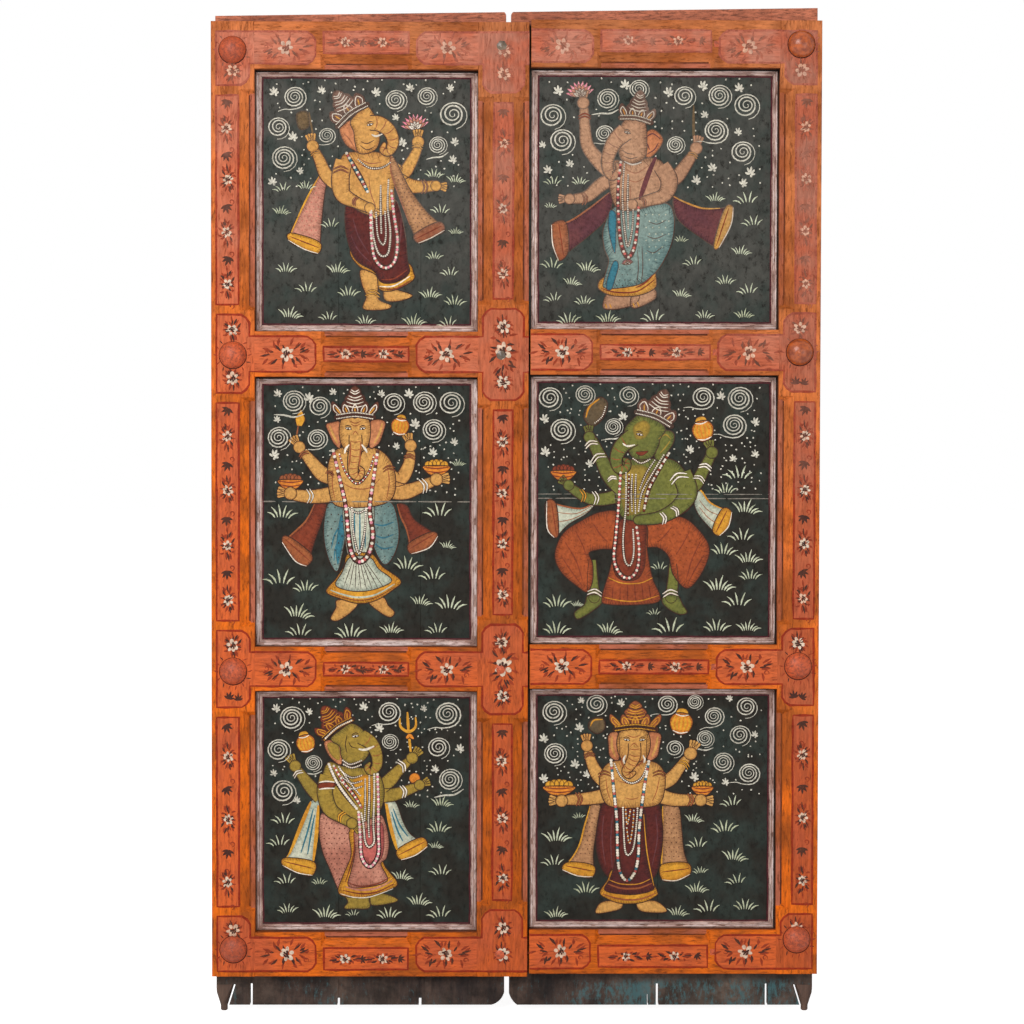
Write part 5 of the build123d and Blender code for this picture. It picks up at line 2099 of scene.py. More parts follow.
def paint_middle_left(f):
    """Ochre, from the front, in a light blue cloth, with bowls and a pot."""
    skin = "skin_ochre"
    f.scarf("cloth_rust", 2, [
        (35.5, 75), (31, 84), (24, 91), (17.5, 96.5), (25, 106.5), (31, 109.5), (36, 95), (40, 84),
        (42, 75),
    ], [
        (20.5, 93), (34, 103.5), (31, 110), (24.5, 107), (17.3, 96.5),
    ], "shade_brown")
    f.scarf("cloth_rust", 2, [
        (82, 75), (84, 82), (87.5, 90), (90, 102.5), (100, 99), (104.5, 93), (92, 84), (87.5, 76),
    ], [
        (88.5, 97), (101, 90.5), (104.8, 93), (100, 99.5), (90, 103),
    ], "shade_brown")
    f.limb("gold", 2, [(27, 31), (27.5, 27), (28, 22.5)], [3, 5.5, 1.2])
    f.line("shade_brown", 2, [(25, 40), (26.5, 30)], 0.7)
    f.limb(skin, 3, [(47, 60), (40, 58), (34.5, 52), (30, 46.5)], [9, 8.5, 7, 5.5])
    f.hand(skin, 3.4, 27, 43, UP - 0.6, 3.4)
    f.bangles(4.2, [(27.5, 49.5), (32.5, 46.5)], 0.6, "shade_brown")
    f.limb(skin, 3, [(50, 68), (42, 70), (33, 70.8), (25, 70)], [9, 8.5, 7.5, 6.5])
    f.bowl(2.6, 22, 62.5, 13, "shade_brown")
    f.hand(skin, 3.6, 22, 69, math.pi + 0.1, 3.6)
    f.bangles(4.2, [(31, 66.5), (31.5, 74.5)], 0.6, "pearl")
    f.limb(skin, 3, [(77, 60), (84, 60.5), (88, 54), (89.5, 47)], [9, 8, 7, 5.5])
    f.pot(2.6, 83.5, 31.5, 8.5, 0.15)
    f.hand(skin, 3.4, 89.5, 42, UP - 0.3, 3.4)
    f.bangles(4.2, [(85.5, 49.5), (92, 50)], 0.6, "shade_brown")
    f.limb(skin, 3, [(76, 66), (86, 68), (95, 65), (101, 62.5)], [11, 9, 7, 6])
    f.bowl(2.6, 104, 54.5, 14)
    f.hand(skin, 3.6, 104, 61, -0.1, 3.6)
    f.bangles(4.2, [(94, 61), (96.5, 69)], 0.7, "pearl")
    f.shape(skin, 2.6, [(48.5, 129), (59.5, 130.5), (56, 136), (48.5, 140.8), (44.5, 139.5), (47.5, 133.5)])
    f.shape(skin, 2.6, [(66, 130), (74, 127.5), (77, 132), (80.5, 136), (78, 138.8), (72, 135.8)])
    blue_left = [
        (43.5, 74.5), (50, 76), (53.5, 80), (53, 92), (51, 104), (48.2, 113), (44, 107.5), (41, 96),
        (41, 84),
    ]
    blue_right = [
        (67.5, 80), (72, 74), (79, 74.5), (82.2, 84), (82.8, 95), (79.5, 105), (74.5, 109), (69.5, 101),
        (67, 91),
    ]
    f.shape("cloth_blue", 4, blue_left)
    f.shape("cloth_blue", 4, blue_right)
    f.shape("cloth_teal", 4.2, [(50, 82), (52.8, 84), (52, 94), (50, 104), (48.5, 109), (47.5, 100)], 0)
    f.lines("cloth_teal", 4.5, [
        [(52, 84), (47, 92), (45, 100)], [(52, 90), (47.5, 99), (46.5, 107)],
        [(68.5, 92), (74, 94), (80, 92)], [(69, 97), (74, 100), (80, 99)], [(68.5, 86), (74, 87), (80, 85)],
    ], 0.8)
    f.spots("ink", 4.6, blue_left, 4.0, 0.9)
    f.spots("ink", 4.6, blue_right, 4.0, 0.8)
    f.shape("cloth_pale", 4.4, [(52.5, 74), (68, 74), (68, 96), (66, 106), (56, 106), (53, 96)], 0.3)
    f.lines("cloth_teal", 4.9, [[(58, 78), (58, 100)], [(61, 78), (61, 104)], [(64, 78), (64, 100)]], 0.8)
    f.shape("gold", 4.6, [
        (54.5, 103), (67.5, 103), (73.5, 110), (84, 118), (80, 123), (70, 129.3), (60, 131), (50, 128.3),
        (42, 124.3), (47.5, 117), (52, 110),
    ])
    f.shape("cloth_pale", 5.0, [
        (55.5, 105), (66.5, 105), (71.5, 111.5), (79, 118), (70, 122.8), (60, 124.3), (51, 122.8),
        (47.3, 120), (51, 113.5),
    ])
    f.lines("ink", 5.5, [
        [(57 + k, 107), (52 + 3.2 * k, 121.5 + 1.6 * math.sin(k / 2.4))] for k in range(8)
    ], 0.4)
    f.spots("ink", 5.5, [(56, 108), (66, 108), (75, 118), (60, 122), (50, 120)], 3.4, 0.6)
    f.lines("cloth_pale", 5.4, [[(44.5, 123.5), (51.5, 126), (60, 127.6), (70, 126), (80.5, 120)]], 1.0)
    f.line("cloth_rust", 5.6, [(44, 125), (51, 127.4), (60, 129.2), (70, 127.6), (81, 121.4)], 0.5)
    f.shape(skin, 5.2, [
        (46, 46), (52, 43), (58.5, 46), (66, 43), (73, 45), (78.5, 51), (81, 60), (80, 70), (74, 75),
        (60, 77), (47, 75.5), (43.5, 66), (43, 54),
    ])
    f.lines("shade_brown", 5.7, [
        [(46, 54), (45.5, 64), (47, 72)], [(76, 52), (77.5, 62), (76, 72)],
        [(50, 62), (57, 66), (66, 66), (72, 61)],
    ], 0.5)
    f.bangles(6, [(41.5, 57.5), (46, 60)], 0.5, "shade_brown")
    f.bangles(6, [(74, 57), (81, 56)], 0.5, "shade_brown")
    f.beads([
        "pearl", "coral", "pearl", "crown_brown", "lotus",
    ], 6.4, [
        (46, 45), (49.5, 60), (53, 76), (54.5, 92), (56.5, 103), (61, 107.5), (66, 103), (68.3, 92),
        (66.5, 78), (68.5, 62), (71, 45),
    ], 2.5, 2.1)
    f.pearls(6.4, [(56.5, 77), (57.5, 92), (60.5, 103), (63.5, 92), (64.5, 77)], 1.2)
    f.pearls(6.4, [(54.5, 77), (60, 80), (66, 77)], 1.1, 1.4)
    f.beads(["pearl", "coral"], 6.2, [(49.5, 47), (53, 57), (59.5, 63.5), (66, 57), (69, 47)], 1.2, 1.5)
    f.shape("ear_pink", 6.8, [(50, 29.5), (45.5, 29), (42, 30.5), (44, 36), (46.5, 41), (50, 43)])
    f.shape("ear_pink", 6.8, [(66.5, 29.5), (71, 27.3), (75.3, 29), (74, 35), (71.5, 41), (66.5, 43)])
    f.lines("skin_ochre", 7.2, [[(44, 31), (46, 36), (48.5, 41)], [(73.5, 29.5), (72, 35), (69, 41)]], 1.2)
    f.shape(skin, 7.2, [
        (49.7, 30), (52, 25.5), (58.3, 24), (64.5, 25.5), (66.8, 30), (66.8, 37), (65, 43), (60.5, 46.5),
        (56, 46.5), (51.5, 43), (49.5, 37),
    ])
    trunk_line = [(58.5, 36), (58.5, 44), (57.3, 51), (57.5, 57.5), (60.5, 59.5), (62.3, 56.5), (61, 54.5)]
    f.trunk(skin, 7.7, trunk_line, [7, 7.5, 6.5, 5.5, 4.2, 3, 2], 12)
    f.lines("shade_brown", 8.2, [
        [(55.8, 40), (55.5, 48), (54.8, 54)], [(61.5, 40), (61.2, 48), (60.4, 54)],
    ], 0.9)
    f.lines("pearl", 8.4, [[(55, 41.5), (53, 44), (52.5, 46.5)], [(62, 41.5), (64, 44), (65, 46)]], 1.1)
    f.eye(8.4, 54.5, 32.5, 0.9, -0.3)
    f.eye(8.4, 62.5, 32.5, 0.9, 0.3)
    f.lines("shade_brown", 8.2, [
        [(55, 28), (58.3, 29.5), (62, 28)], [(56, 30), (58.3, 31), (61, 30)],
        [(57, 36), (58.4, 34), (60, 36)],
    ], 0.5)
    f.crown(7.8, (49, 27), (67.5, 27), 9, 18, 5)
    f.scratch(73.6, 43, 82, 0.8)


def paint_middle_right(f):
    """Green, crouching with orange knees, turned to the left, with a pot and a bowl."""
    skin = "skin_green"
    f.scarf("cloth_pale", 2, [
        (44, 72.5), (36, 77), (26, 76), (16, 73), (15, 80), (16.5, 88), (20, 93.5), (28, 86), (38, 80),
    ], [
        (21, 74.5), (22.5, 90.5), (20, 93.5), (16, 88), (15.8, 73),
    ], "shade_brown")
    f.scarf("cloth_pale", 2, [
        (98, 68), (102, 67), (107.5, 74), (119, 79), (117.5, 87), (112.5, 92), (104, 84.5), (99, 77),
    ], [
        (114, 77), (108.5, 88.5), (112.5, 92.3), (117.5, 87), (119.3, 79),
    ])
    f.lines("shade_brown", 2.6, [
        [(42, 75), (32, 80), (20, 79)], [(40, 78), (30, 83), (20, 85)], [(101, 72), (106, 78), (113, 81)],
        [(101, 76), (106, 82), (112, 86)],
    ], 0.4)
    f.shape("cloth_orange", 3, [
        (56, 80), (46, 79), (36, 83.5), (25, 91), (20.3, 103), (24, 113), (33, 121), (38.5, 124),
        (41.5, 118), (41.5, 108), (39.5, 102), (46, 100), (56, 98),
    ])
    f.shape("cloth_orange", 3, [
        (70, 87), (80, 82.5), (90, 81.5), (98, 86), (106.3, 97), (105.5, 107), (99.5, 118), (93.5, 121.8),
        (86.5, 114), (84, 104), (78, 99), (70, 98),
    ])
    f.lines("cloth_rust", 3.5, [
        [(26, 96), (32, 106), (36, 118)], [(32, 90), (36, 98), (38, 104)], [(42, 86), (46, 92), (50, 96)],
        [(24, 104), (30, 113), (36, 121)], [(102, 95), (97, 106), (94, 117)],
        [(96, 89), (92, 97), (88, 103)], [(86, 87), (82, 92), (78, 96)], [(104, 103), (99, 111), (95, 119)],
    ], 0.6)
    f.spots("cloth_rust", 3.5, [(30, 90), (52, 82), (52, 96), (38, 100), (40, 116), (26, 106)], 3.6, 0.8)
    f.spots("cloth_rust", 3.5, [(76, 86), (96, 87), (103, 100), (96, 116), (88, 104), (76, 96)], 3.6, 0.8)
    f.limb(skin, 2.6, [(41.5, 106), (41.5, 117), (42.5, 127)], [4, 6, 6.5])
    f.limb(skin, 2.6, [(86.5, 108), (86.5, 118), (85.5, 127)], [4, 6, 6.5])
    f.shape(skin, 3, [
        (39, 126), (46.5, 126), (46.5, 130.5), (39, 136.5), (33, 139.3), (31.5, 135.5), (37, 131),
    ])
    f.shape(skin, 3, [
        (82, 126), (89, 126), (92, 131), (94.5, 135.5), (90, 136.5), (84, 133.5), (80.5, 129.5),
    ])
    f.bangles(3.8, [(38.5, 125.5), (46.5, 126.5)], 0.8, "pearl")
    f.bangles(3.8, [(81, 127), (89.5, 126)], 0.8, "pearl")
    f.shape("cloth_orange", 4, [
        (55, 86), (71, 86), (72, 100), (75, 116), (79.5, 128), (70, 131), (50, 131), (46.8, 127), (51, 112),
        (54, 98),
    ])
    f.shape("cloth_rust", 4.3, [
        (56, 84), (70.5, 84), (71, 98), (70.5, 110), (66, 117), (57, 117), (53, 110), (54.5, 97),
    ], 0.3)
    f.lines("cloth_rust", 4.6, [
        [(49 + 4 * k, 120 + 1.2 * math.sin(k)), (48 + 4.4 * k, 129)] for k in range(7)
    ], 0.5)
    f.lines("gold", 4.6, [
        [(48, 127), (58, 129), (68, 129), (78.5, 126)], [(50.5, 116), (58, 119), (68, 119), (75, 116)],
    ], 0.6)
    f.shape(skin, 5, [
        (55, 52), (66, 49.5), (78, 49), (87, 50), (93.5, 57), (97, 67), (95.5, 77), (86, 82), (70, 84),
        (58, 82), (54, 70),
    ])
    f.shape("skin_olive", 5.2, [(60, 54), (72, 54), (74, 66), (70, 78), (60, 80), (57, 66)], 0)
    f.limb(skin, 5.4, [(58, 66), (51, 59), (45.5, 48), (41, 39)], [9, 8.5, 7, 6])
    f.shape("blade_brown", 3, [
        (36.5, 26.5), (38.5, 19.5), (45, 14.5), (49.5, 18), (47.5, 25.5), (41.5, 31),
    ])
    f.line("gold", 3.6, [(37.5, 26), (39.5, 20), (45, 15.5)], 1.0)
    f.pearls(3.6, [(48.5, 20), (46.5, 25.5), (42, 29.5)], 1.0, 1.4)
    f.hand(skin, 5.8, 39.5, 37, UP - 0.1, 3.2)
    f.bangles(6.4, [(37.5, 43.5), (44.5, 41)], 0.8, "pearl")
    f.bangles(6.4, [(41.5, 52), (49, 48)], 0.8, "pearl")
    f.bangles(6.4, [(50, 62), (55, 60.5)], 0.8, "pearl")
    f.limb(skin, 4.6, [(56, 70), (46, 72), (38, 71), (30, 66)], [7.5, 7, 6, 5])
    f.hand(skin, 5, 28, 64, UP - 0.9, 3)
    f.bowl(4.4, 25, 57, 13, "cloth_rust")
    f.bangles(6.4, [(41, 67.5), (42, 75)], 0.6, "pearl")
    f.bangles(6.4, [(34, 66.5), (35, 73.5)], 0.6)
    f.limb(skin, 4.6, [(93, 66), (98.5, 64), (103.5, 55), (107, 48)], [8, 7.5, 6.5, 5.5])
    f.pot(4.4, 103, 33.5, 10, -0.2)
    f.hand(skin, 5, 108, 45.5, UP - 0.3, 3.4)
    f.bangles(6.4, [(100.5, 54), (107.5, 56)], 0.8, "pearl")
    f.bangles(6.4, [(97.5, 60), (103.5, 63)], 0.6, "pearl")
    f.limb(skin, 6, [(91, 57), (94.5, 68), (89.5, 76), (79, 82), (67, 83.5)], [11, 11, 8.5, 7, 5.5])
    f.bangles(7, [(85.5, 63.5), (95, 59.5)], 0.8, "pearl")
    f.bangles(7, [(79, 79.5), (80.5, 86)], 0.8, "pearl")
    f.bangles(7, [(85, 76.5), (88.5, 81.5)], 0.8, "pearl")
    f.beads(["pearl", "coral"], 6.6, [
        (57, 57), (56, 74), (54.5, 92), (53.5, 106), (57.5, 114.5), (62.5, 116), (66.5, 111), (67.5, 100),
        (66, 87),
    ], 2.0, 1.9)
    f.pearls(6.6, [(60, 57), (60, 76), (58.5, 94), (59.5, 106), (62.5, 109), (64.5, 102), (64, 88)], 1.2)
    f.beads(["pearl", "pearl", "cloth_rust"], 6.6, [(84, 46), (78, 56), (72.5, 67), (70, 79)], 1.8, 1.7)
    f.pearls(6.6, [(81, 47), (75, 57), (69, 68), (67, 79)], 1.2)
    f.pearls(6.6, [(63.5, 58), (63, 68), (63.5, 79)], 1.1)
    f.beads(["pearl", "cloth_rust"], 6.6, [(61.7, 58), (61.4, 70), (61.2, 81)], 1.1, 1.5)
    f.pearls(6.6, [(65.6, 58), (65.2, 69), (65.4, 80)], 1.1)
    f.pearls(6.6, [(76, 50), (71, 58), (67.4, 67)], 1.1)
    f.shape(skin, 7, [(75.5, 36), (80, 33), (86, 34), (86.8, 39), (83.5, 45), (79, 50.5), (75.5, 47)])
    f.lines("skin_olive", 7.5, [[(78, 38), (82, 35.5), (85, 38)], [(79, 46), (82.5, 42), (84.5, 39)]], 0.7)
    f.shape(skin, 7.4, [
        (61, 40), (59, 33), (63, 27.5), (68, 24), (74, 26), (80, 29.5), (82, 33), (79, 38), (78, 42),
        (74, 48.5), (66, 49.5), (62, 46),
    ])
    f.shape("skin_olive", 7.6, [(64, 31), (70, 27.5), (73.5, 31), (71, 37), (65.5, 38)], 0)
    f.trunk(skin, 7.9, [
        (64, 37), (57.5, 42), (54.5, 49), (56, 54.5), (60, 54.5), (61, 51), (59, 49.5),
    ], [10, 8.5, 7, 6, 4.5, 3.4, 2.2])
    f.line("pearl", 8.6, [(58, 40.5), (61, 42), (65, 41.2)], 1.0)
    f.limb("cloth_rust", 8.4, [(65.5, 45.5), (68.5, 46.2), (72, 45)], [0.6, 2.4, 0.6], 0.3)
    f.pearls(8.4, [(64, 49), (68.5, 51.5), (74, 49)], 1.1, 1.3)
    f.eye(8.6, 67.5, 35.5, 1.0, -0.4)
    f.crown(7.8, (66.5, 24), (84, 31), 9, 18, 3)
    f.scratch(69, 52, 97, 0.5)
    f.scratch(71.4, 52, 97, 0.6)


def paint_lower_left(f):
    """Olive, in a pink cloth, turned to the right, with a trident, a pot and a sweet."""
    skin = "skin_olive"
    f.scarf("cloth_pale", 2, [
        (36, 71.5), (32, 81), (25.5, 98), (19, 110.5), (28, 115), (37, 116.5), (38.5, 100), (40.5, 84),
        (41, 72),
    ], [
        (20.5, 106), (38, 108.5), (37, 116.8), (28, 115.3), (18.8, 110.7),
    ])
    f.lines("gold", 2.6, [[(36, 72), (31, 84), (23, 104)], [(40.5, 74), (39.5, 90), (37.5, 108)]], 2.2)
    f.lines("cloth_teal", 2.8, [[(37.5, 76), (34, 90), (30, 103)], [(38.3, 80), (36, 92), (34, 104)]], 1.0)
    f.scarf("cloth_pale", 2, [
        (81, 72), (83.5, 86), (87, 98), (91, 107), (100, 104), (106.5, 99), (97, 92), (92, 84), (87.5, 72),
    ], [
        (88.5, 101), (103, 93.5), (106.8, 99.2), (99.5, 104.5), (90.8, 107.4),
    ])
    f.line("gold", 2.6, [(82, 73), (84.5, 87), (88.5, 101)], 2.0)
    f.lines("cloth_teal", 2.8, [[(86, 76), (90, 86), (95, 93)], [(85, 78), (88.5, 89), (92, 96)]], 1.0)
    f.pot(2.4, 33, 36.5, 9.5, -0.25)
    f.limb(skin, 3, [(42, 69), (36.5, 63.5), (31.5, 57), (28.5, 53)], [9, 8, 6.5, 5.5])
    f.hand(skin, 3.4, 26.5, 50, UP - 0.5, 3.6)
    f.bangles(4.2, [(26, 57.5), (31.5, 54)], 0.7, "pearl")
    f.limb(skin, 3, [(79, 63), (84, 58.5), (88.5, 53.5), (94, 48)], [8, 8.5, 7, 5.5])
    f.line("gold", 2, [(97, 44), (96, 36), (95.5, 28)], 1.4)
    f.lines("gold", 2.4, [
        [(90, 20.5), (90.5, 26), (95.3, 29), (99.5, 26), (99.5, 20)], [(95.3, 30), (95, 24), (94.6, 17)],
    ], 1.6)
    f.limb("pot_orange", 2.6, [(94, 33), (96, 31.5), (98, 33)], [1.5, 3, 1.5])
    f.hand(skin, 3.4, 97.5, 45, UP + 0.7, 3.6)
    f.bangles(4.2, [(88, 47.5), (92, 54)], 0.8, "pearl")
    f.limb(skin, 3, [(79, 68), (86, 67.5), (94, 65), (100, 62.5)], [8.5, 8, 6.5, 5.5])
    f.shape("pot_orange", 3.2, circle(99, 57.5, 3.4, 9))
    f.hand(skin, 3.6, 102, 61.5, -0.4, 3.2)
    f.bangles(4.2, [(90, 62), (91.5, 69.5)], 0.8, "pearl")
    f.shape(skin, 2.6, [
        (57.5, 129), (70, 128.5), (72, 133), (71, 137), (64, 137.3), (56.5, 137), (58.5, 133),
    ])
    f.shape(skin, 2.4, [(72, 130), (80, 128), (89, 131.8), (82, 134.5), (73, 135)])
    f.shape("cloth_pink", 3.6, [
        (42.5, 79), (50, 83), (58, 86), (62, 94), (60, 108), (55, 122), (53, 126), (47.5, 113), (43, 102),
        (41, 90),
    ])
    pink = [(42.5, 80), (60, 88), (58, 112), (53, 124), (44, 104)]
    f.spots("cloth_maroon", 4.2, pink, 3.1, 0.9)
    f.shape("gold", 4, [
        (60, 88), (76, 84), (82.5, 96), (80, 109), (88.5, 121), (84, 125.5), (70, 130), (58, 130),
        (52.5, 126.5), (56, 116), (60.5, 104),
    ])
    f.shape("cloth_pink", 4.4, [
        (63, 88), (77, 80), (81, 84), (83.5, 96), (82, 106), (78.5, 110), (82.5, 120), (70, 124),
        (59, 123.5), (60.5, 114), (63, 102),
    ])
    f.lines("cloth_rust", 4.9, [
        [(58, 121), (66, 123.5), (76, 122), (84, 118)], [(55.5, 126), (66, 128), (76, 127), (86.5, 122)],
        [(62, 90), (62, 104), (57, 121)],
    ], 0.8)
    f.lines("cloth_pink", 5, [[(57, 123.8), (66, 125.8), (76, 124.6), (85.5, 120)]], 1.2)
    f.line("pearl", 5, [(54, 128), (62, 130.2), (72, 130), (86, 125)], 0.6)
    f.spots("cloth_maroon", 4.9, [(65, 104), (78, 112), (80, 119), (62, 121)], 3.0, 0.7)
    f.shape("coral", 4.7, [(66, 92), (78, 84), (80.5, 94), (79, 106), (72, 110), (66, 104)], 0.3)
    f.shape(skin, 5, [
        (46, 48), (55, 50), (66, 51), (74, 52), (79, 58), (80.5, 68), (77.5, 78), (68, 84), (57, 84),
        (47, 76), (42, 64),
    ])
    f.shape("gold", 5.2, [(62, 58), (72, 56), (74, 68), (70, 75), (64, 72)], 0)
    f.limb(skin, 6, [(46.5, 56), (44.5, 66), (47.5, 76), (54, 81), (60, 84.5)], [10, 9.5, 9, 7, 6])
    f.hand(skin, 6.5, 61, 85, 0.7, 3.4)
    f.shape("cloth_rust", 6.6, [(41.3, 60.5), (50, 60), (50, 63), (41.3, 63.8)], 0.3)
    f.lines("pearl", 7.2, [
        [(41, 60), (45.5, 59.3), (50.5, 59.8)], [(41, 64.2), (45.5, 63.6), (50.5, 63.6)],
    ], 0.8)
    f.bangles(7.2, [(54, 84.5), (57.5, 78.5)], 0.9)
    f.pearls(6.4, [(47, 49), (52, 60), (59, 70), (64, 76)], 2.2, 1.9)
    f.beads(["pearl", "coral"], 6.4, [(50, 50), (56, 60), (63, 69), (67, 76)], 1.9, 1.8)
    f.pearls(6.4, [(53, 50.5), (59, 59), (66, 68)], 1.3, 1.6)
    f.pearls(7, [
        (74.5, 55), (74.5, 70), (74, 86), (74.5, 96), (71.5, 99.5), (69, 96), (68, 86), (66.5, 78),
    ], 1.5, 1.6)
    f.beads(["pearl", "lotus"], 6.8, [
        (76.5, 55), (77, 72), (77, 90), (77, 104), (72, 111.5), (67, 106), (66, 92), (65, 78),
    ], 2.2, 1.9)
    f.pearls(7, [(71.5, 56), (71.5, 70), (71, 84), (71.5, 94)], 1.3, 1.6)
    f.pearls(7, [(69, 58), (69, 72), (68.6, 84)], 1.2)
    for drop in (0, 3.4, 6.8):
        f.pearls(6.2, [(54, 52.5 + drop), (60.5, 57 + drop), (67.5, 55.5 + drop)], 1.1)
    f.shape("ear_pink", 6.6, [(44, 36), (47, 34), (52.5, 35), (55, 41), (54.5, 49), (50, 47), (46, 42)])
    f.shape("skin_olive", 6.9, [(46, 36.5), (49, 35.5), (53, 38), (53.5, 46), (50, 45), (47, 41)], 0)
    f.shape(skin, 7.2, [
        (53.5, 38), (49, 35), (48.5, 32.5), (54, 28), (60, 24), (65.5, 26), (70, 31), (72, 37), (71, 43),
        (66, 48), (58, 48.5), (54.5, 44),
    ])
    trunk_line = [(66.5, 32), (72.5, 36), (76, 43), (76, 50), (72.5, 53.5), (70, 51), (71.5, 48.5)]
    f.trunk(skin, 7.7, trunk_line, [9, 8.5, 7, 6, 4.5, 3.4, 2.2])
    f.line("pearl", 8.6, [(65, 39.6), (69, 40), (74.5, 37.8)], 1.3)
    f.pearls(8.4, [(55.5, 46.5), (60, 49), (67, 46.5)], 1.2, 1.4)
    f.pearls(8.2, [(56, 49), (61, 51), (67, 49)], 1.2, 1.4)
    f.lines("ink", 8.4, [[(59, 35), (60.5, 38), (64, 39)], [(58, 31), (57, 37), (58, 42)]], 0.5)
    f.eye(8.6, 63, 31.8, 1.1, 0.3)
    f.crown(7.8, (45, 33.5), (61, 22.5), 8.5, 17, 4, "cloth_rust", "gold")
    f.pearls(10.4, [(45, 33), (52, 26.5), (61, 22)], 1.4)


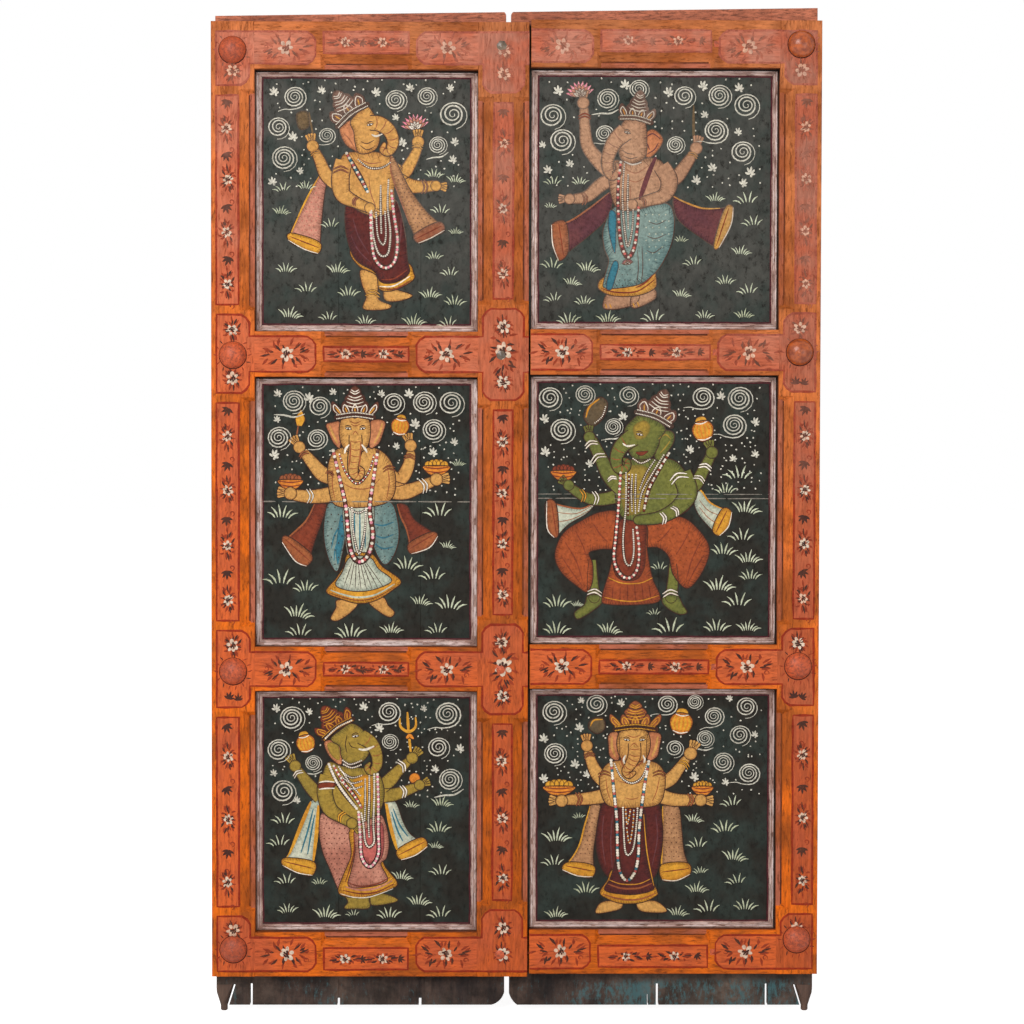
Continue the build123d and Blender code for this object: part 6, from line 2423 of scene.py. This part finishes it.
def paint_lower_right(f):
    """Ochre, from the front, in a dark maroon cloth, with bowls, a pot and an axe."""
    skin = "skin_ochre"
    f.scarf("cloth_tan", 2, [
        (42, 71), (39, 82), (35, 96), (26.5, 108.5), (35, 112), (43.5, 112.5), (44, 98), (46, 84), (48, 71),
    ], [
        (29.5, 104), (44, 106), (43.5, 112.8), (35, 112.3), (26, 108.6),
    ])
    f.scarf("cloth_tan", 2, [
        (84, 71), (84, 88), (83.5, 104), (84, 114), (92, 114.5), (100, 111), (96.5, 98), (95, 84), (93, 71),
    ], [
        (83.5, 105.5), (98.5, 104.5), (100, 111.3), (92, 115), (83.8, 114.5),
    ])
    f.spots("crown_brown", 2.6, [(42, 74), (46, 74), (43, 102), (34, 100)], 2.6, 0.8)
    f.spots("crown_brown", 2.6, [(86, 74), (92, 74), (95, 102), (85, 102)], 2.8, 0.8)
    f.shape("blade_brown", 2, [(41, 25), (42.5, 20), (49, 19), (50.5, 25), (46, 28.5)])
    f.line("gold", 2.6, [(42, 24), (44, 20.5), (49, 20)], 0.8)
    f.limb(skin, 3, [(50, 56), (46, 52), (43, 46), (41, 40)], [8.5, 8, 6.5, 5.5])
    f.hand(skin, 3.4, 40, 35.5, UP - 0.1, 3.4)
    f.bangles(4.2, [(38.5, 43), (45, 42)], 0.6, "shade_brown")
    f.limb(skin, 3, [(54, 64), (45, 66), (36, 67), (29, 67.5)], [9, 8, 7, 6])
    f.bowl(2.6, 24, 60.5, 17)
    f.hand(skin, 3.6, 25.5, 68, math.pi + 0.05, 3.6)
    f.bangles(4.2, [(33.5, 63), (34, 71)], 0.8, "shade_brown")
    f.limb(skin, 3, [(82, 58), (88.5, 55), (93, 49.5), (97, 44)], [8.5, 8, 6.5, 5.5])
    f.pot(2.6, 94.5, 22.5, 11, 0.1)
    f.hand(skin, 3.4, 100, 40, UP + 0.4, 3.8)
    f.bangles(4.2, [(92.5, 45.5), (98.5, 49.5)], 0.6)
    f.limb(skin, 3, [(80, 64), (89, 67), (97, 67.5), (103, 67)], [9, 8, 7, 6])
    f.bowl(2.6, 107, 60.5, 11.5)
    f.hand(skin, 3.6, 106, 67.5, 0.05, 3.6)
    f.bangles(4.2, [(98.5, 63.5), (98.5, 71)], 0.8, "shade_brown")
    f.shape(skin, 2.6, [(49.5, 127.5), (60, 127), (60.5, 131), (56, 133), (46.5, 134.5), (45.5, 132)])
    f.shape(skin, 2.6, [(70, 127.5), (80, 127), (86.5, 132), (84, 134), (73, 133.5), (69.5, 131)])
    f.shape("cloth_maroon", 3.6, [
        (50, 69), (60, 73), (60, 100), (57, 112), (53, 113), (48.5, 107), (45.5, 95), (46.5, 80),
    ])
    f.shape("cloth_maroon", 3.6, [
        (72, 72), (81, 69), (84, 82), (83.5, 98), (80.5, 111), (76.5, 113), (72, 104), (70.5, 90),
    ])
    f.shape("gold", 3.9, [
        (56, 108), (74, 108), (78, 115), (81, 121), (80.5, 124), (72, 128), (60, 128.5), (50.5, 125),
        (47.8, 121.5), (52, 115),
    ])
    f.shape("cloth_maroon", 4.3, [
        (57, 72), (73, 72), (74.5, 100), (77.5, 114), (79, 120), (70, 123), (60, 123), (50.5, 120.5),
        (54, 113), (57, 100),
    ])
    f.lines("shade_brown", 4.9, [
        [(52.5, 117), (60, 119.5), (70, 119.5), (78, 116.5)],
        [(49.5, 123), (60, 126), (71, 126), (80, 122.5)],
    ], 1.0)
    f.lines("gold", 4.9, [
        [(53, 114.5), (60, 117), (70, 117), (77, 114)], [(73, 76), (75, 98), (79, 118)],
    ], 0.6)
    f.lines("cloth_plum", 4.2, [
        [(50, 76), (49, 90), (51, 106)], [(55, 76), (54, 92), (55, 108)], [(80, 76), (81, 90), (78, 106)],
    ], 0.7)
    f.shape(skin, 5, [
        (52, 46), (60, 44), (66, 46), (73, 44), (81, 46), (85, 52), (85, 62), (81.5, 70), (70, 72),
        (58, 72), (51, 69.5), (47.5, 60), (48, 52),
    ])
    f.lines("shade_brown", 5.5, [
        [(51, 54), (52, 62), (54, 68)], [(82, 54), (80.5, 62), (78, 68)], [(58, 56), (66, 58), (74, 56)],
        [(62, 66), (66, 67), (70, 66)],
    ], 0.5)
    f.bangles(6, [(46.5, 54), (54, 53.5)], 0.5, "shade_brown")
    f.bangles(6, [(78, 53.5), (86, 54)], 0.5, "shade_brown")
    f.beads([
        "pearl", "pearl", "pearl", "coral", "cloth_teal",
    ], 6.4, [
        (54, 44), (55.5, 60), (57.5, 80), (58, 100), (59.5, 110), (63.5, 115), (68, 110), (70, 100),
        (70.5, 84), (73, 62), (76, 44),
    ], 2.2, 1.9)
    f.pearls(6.4, [(61, 72), (61.5, 86), (62.5, 98), (65, 99.5), (67.5, 94), (69, 80), (69.5, 72)], 1.3)
    f.beads(["pot_orange", "pearl"], 6.4, [(62.5, 72), (63.5, 82), (65.5, 72)], 1.2, 1.5)
    f.beads(["pearl", "pot_orange"], 6.4, [(63.2, 84), (64.8, 93), (66.6, 84), (67.4, 73)], 1.2, 1.5)
    f.pearls(6.2, [(56, 46), (60, 54), (66, 57.5), (72, 54), (75, 46)], 1.2)
    f.shape("ear_pink", 6.8, [(58.5, 29), (54.5, 27.5), (52.3, 30), (52.5, 36), (53.5, 42), (58.5, 43.5)])
    f.shape("ear_pink", 6.8, [(75, 29), (79.5, 27.5), (83, 29.5), (82, 36), (80.5, 42), (75, 43.5)])
    f.lines("skin_ochre", 7.2, [
        [(54.5, 30), (54.5, 36), (56.5, 42)], [(81, 30), (80, 36), (77.5, 42)],
    ], 1.4)
    f.shape(skin, 7.2, [
        (57.5, 31), (60, 26.5), (67, 24.8), (74, 26.5), (76.5, 31), (76.5, 37), (74.5, 42.5), (70, 45),
        (64, 45), (59.5, 42.5), (57.5, 37),
    ])
    f.trunk(skin, 7.7, [
        (67.5, 34), (67.5, 41), (65.5, 46), (62.8, 50.5), (64.5, 53), (67.2, 51.5),
    ], [7, 7.5, 6.5, 5.2, 3.8, 2.4], 10)
    f.lines("shade_brown", 8.2, [[(61, 41), (60, 45), (62, 49)], [(73.5, 41), (72, 45), (68, 48)]], 0.8)
    f.lines("pearl", 8.4, [
        [(62.5, 41), (61.3, 43.5), (61.8, 46)], [(72.5, 41), (73.5, 43.5), (73, 45.5)],
    ], 1.1)
    f.eye(8.4, 63, 32, 0.9, -0.3)
    f.eye(8.4, 72, 32, 0.9, 0.3)
    f.lines("shade_brown", 8.2, [[(63, 29), (67, 30.5), (71, 29)], [(65, 36), (67.3, 34), (69.5, 36)]], 0.5)
    f.crown(7.8, (57.5, 26.5), (78.5, 26.5), 9, 17, 5, "shade_brown", "gold")


figures = {
    ("left", "upper"): paint_upper_left,
    ("right", "upper"): paint_upper_right,
    ("left", "middle"): paint_middle_left,
    ("right", "middle"): paint_middle_right,
    ("left", "lower"): paint_lower_left,
    ("right", "lower"): paint_lower_right,
}


class DOOR_OT_figures(bpy.types.Operator):
    """Paint the six figures of the panels"""
    bl_idname = "door.figures"
    bl_label = "Panel figures"

    def execute(self, context):
        for place, paint in figures.items():
            figure = Figure(place)
            paint(figure)
            figure.finish()
        return {"FINISHED"}


classes = [DoorColours, DoorSizes, DOOR_OT_stage, DOOR_OT_finishes, DOOR_OT_frame_fields, DOOR_OT_figures,
           DOOR_OT_panels]


class DOOR_PT_panel(bpy.types.Panel):
    """The door's operators, in the order in which they build it"""
    bl_idname = "DOOR_PT_panel"
    bl_label = "Painted plank door"
    bl_space_type = "VIEW_3D"
    bl_region_type = "UI"
    bl_category = "Door"

    def draw(self, context):
        for operator in classes:
            if issubclass(operator, bpy.types.Operator):
                self.layout.operator(operator.bl_idname)


def register():
    """Registers the classes and their properties."""
    for made in classes + [DOOR_PT_panel]:
        bpy.utils.register_class(made)
    bpy.types.Scene.door_colours = bpy.props.PointerProperty(type=DoorColours)
    bpy.types.Scene.door_sizes = bpy.props.PointerProperty(type=DoorSizes)


def unregister():
    """Takes the classes and their properties away again."""
    del bpy.types.Scene.door_sizes
    del bpy.types.Scene.door_colours
    for made in reversed(classes + [DOOR_PT_panel]):
        bpy.utils.unregister_class(made)


def main():
    """Builds the door's looks in order."""
    register()
    bpy.ops.door.stage()
    bpy.ops.door.finishes()
    bpy.ops.door.frame_fields()
    bpy.ops.door.figures()
    bpy.ops.door.panels()


if __name__ == "__main__":
    main()
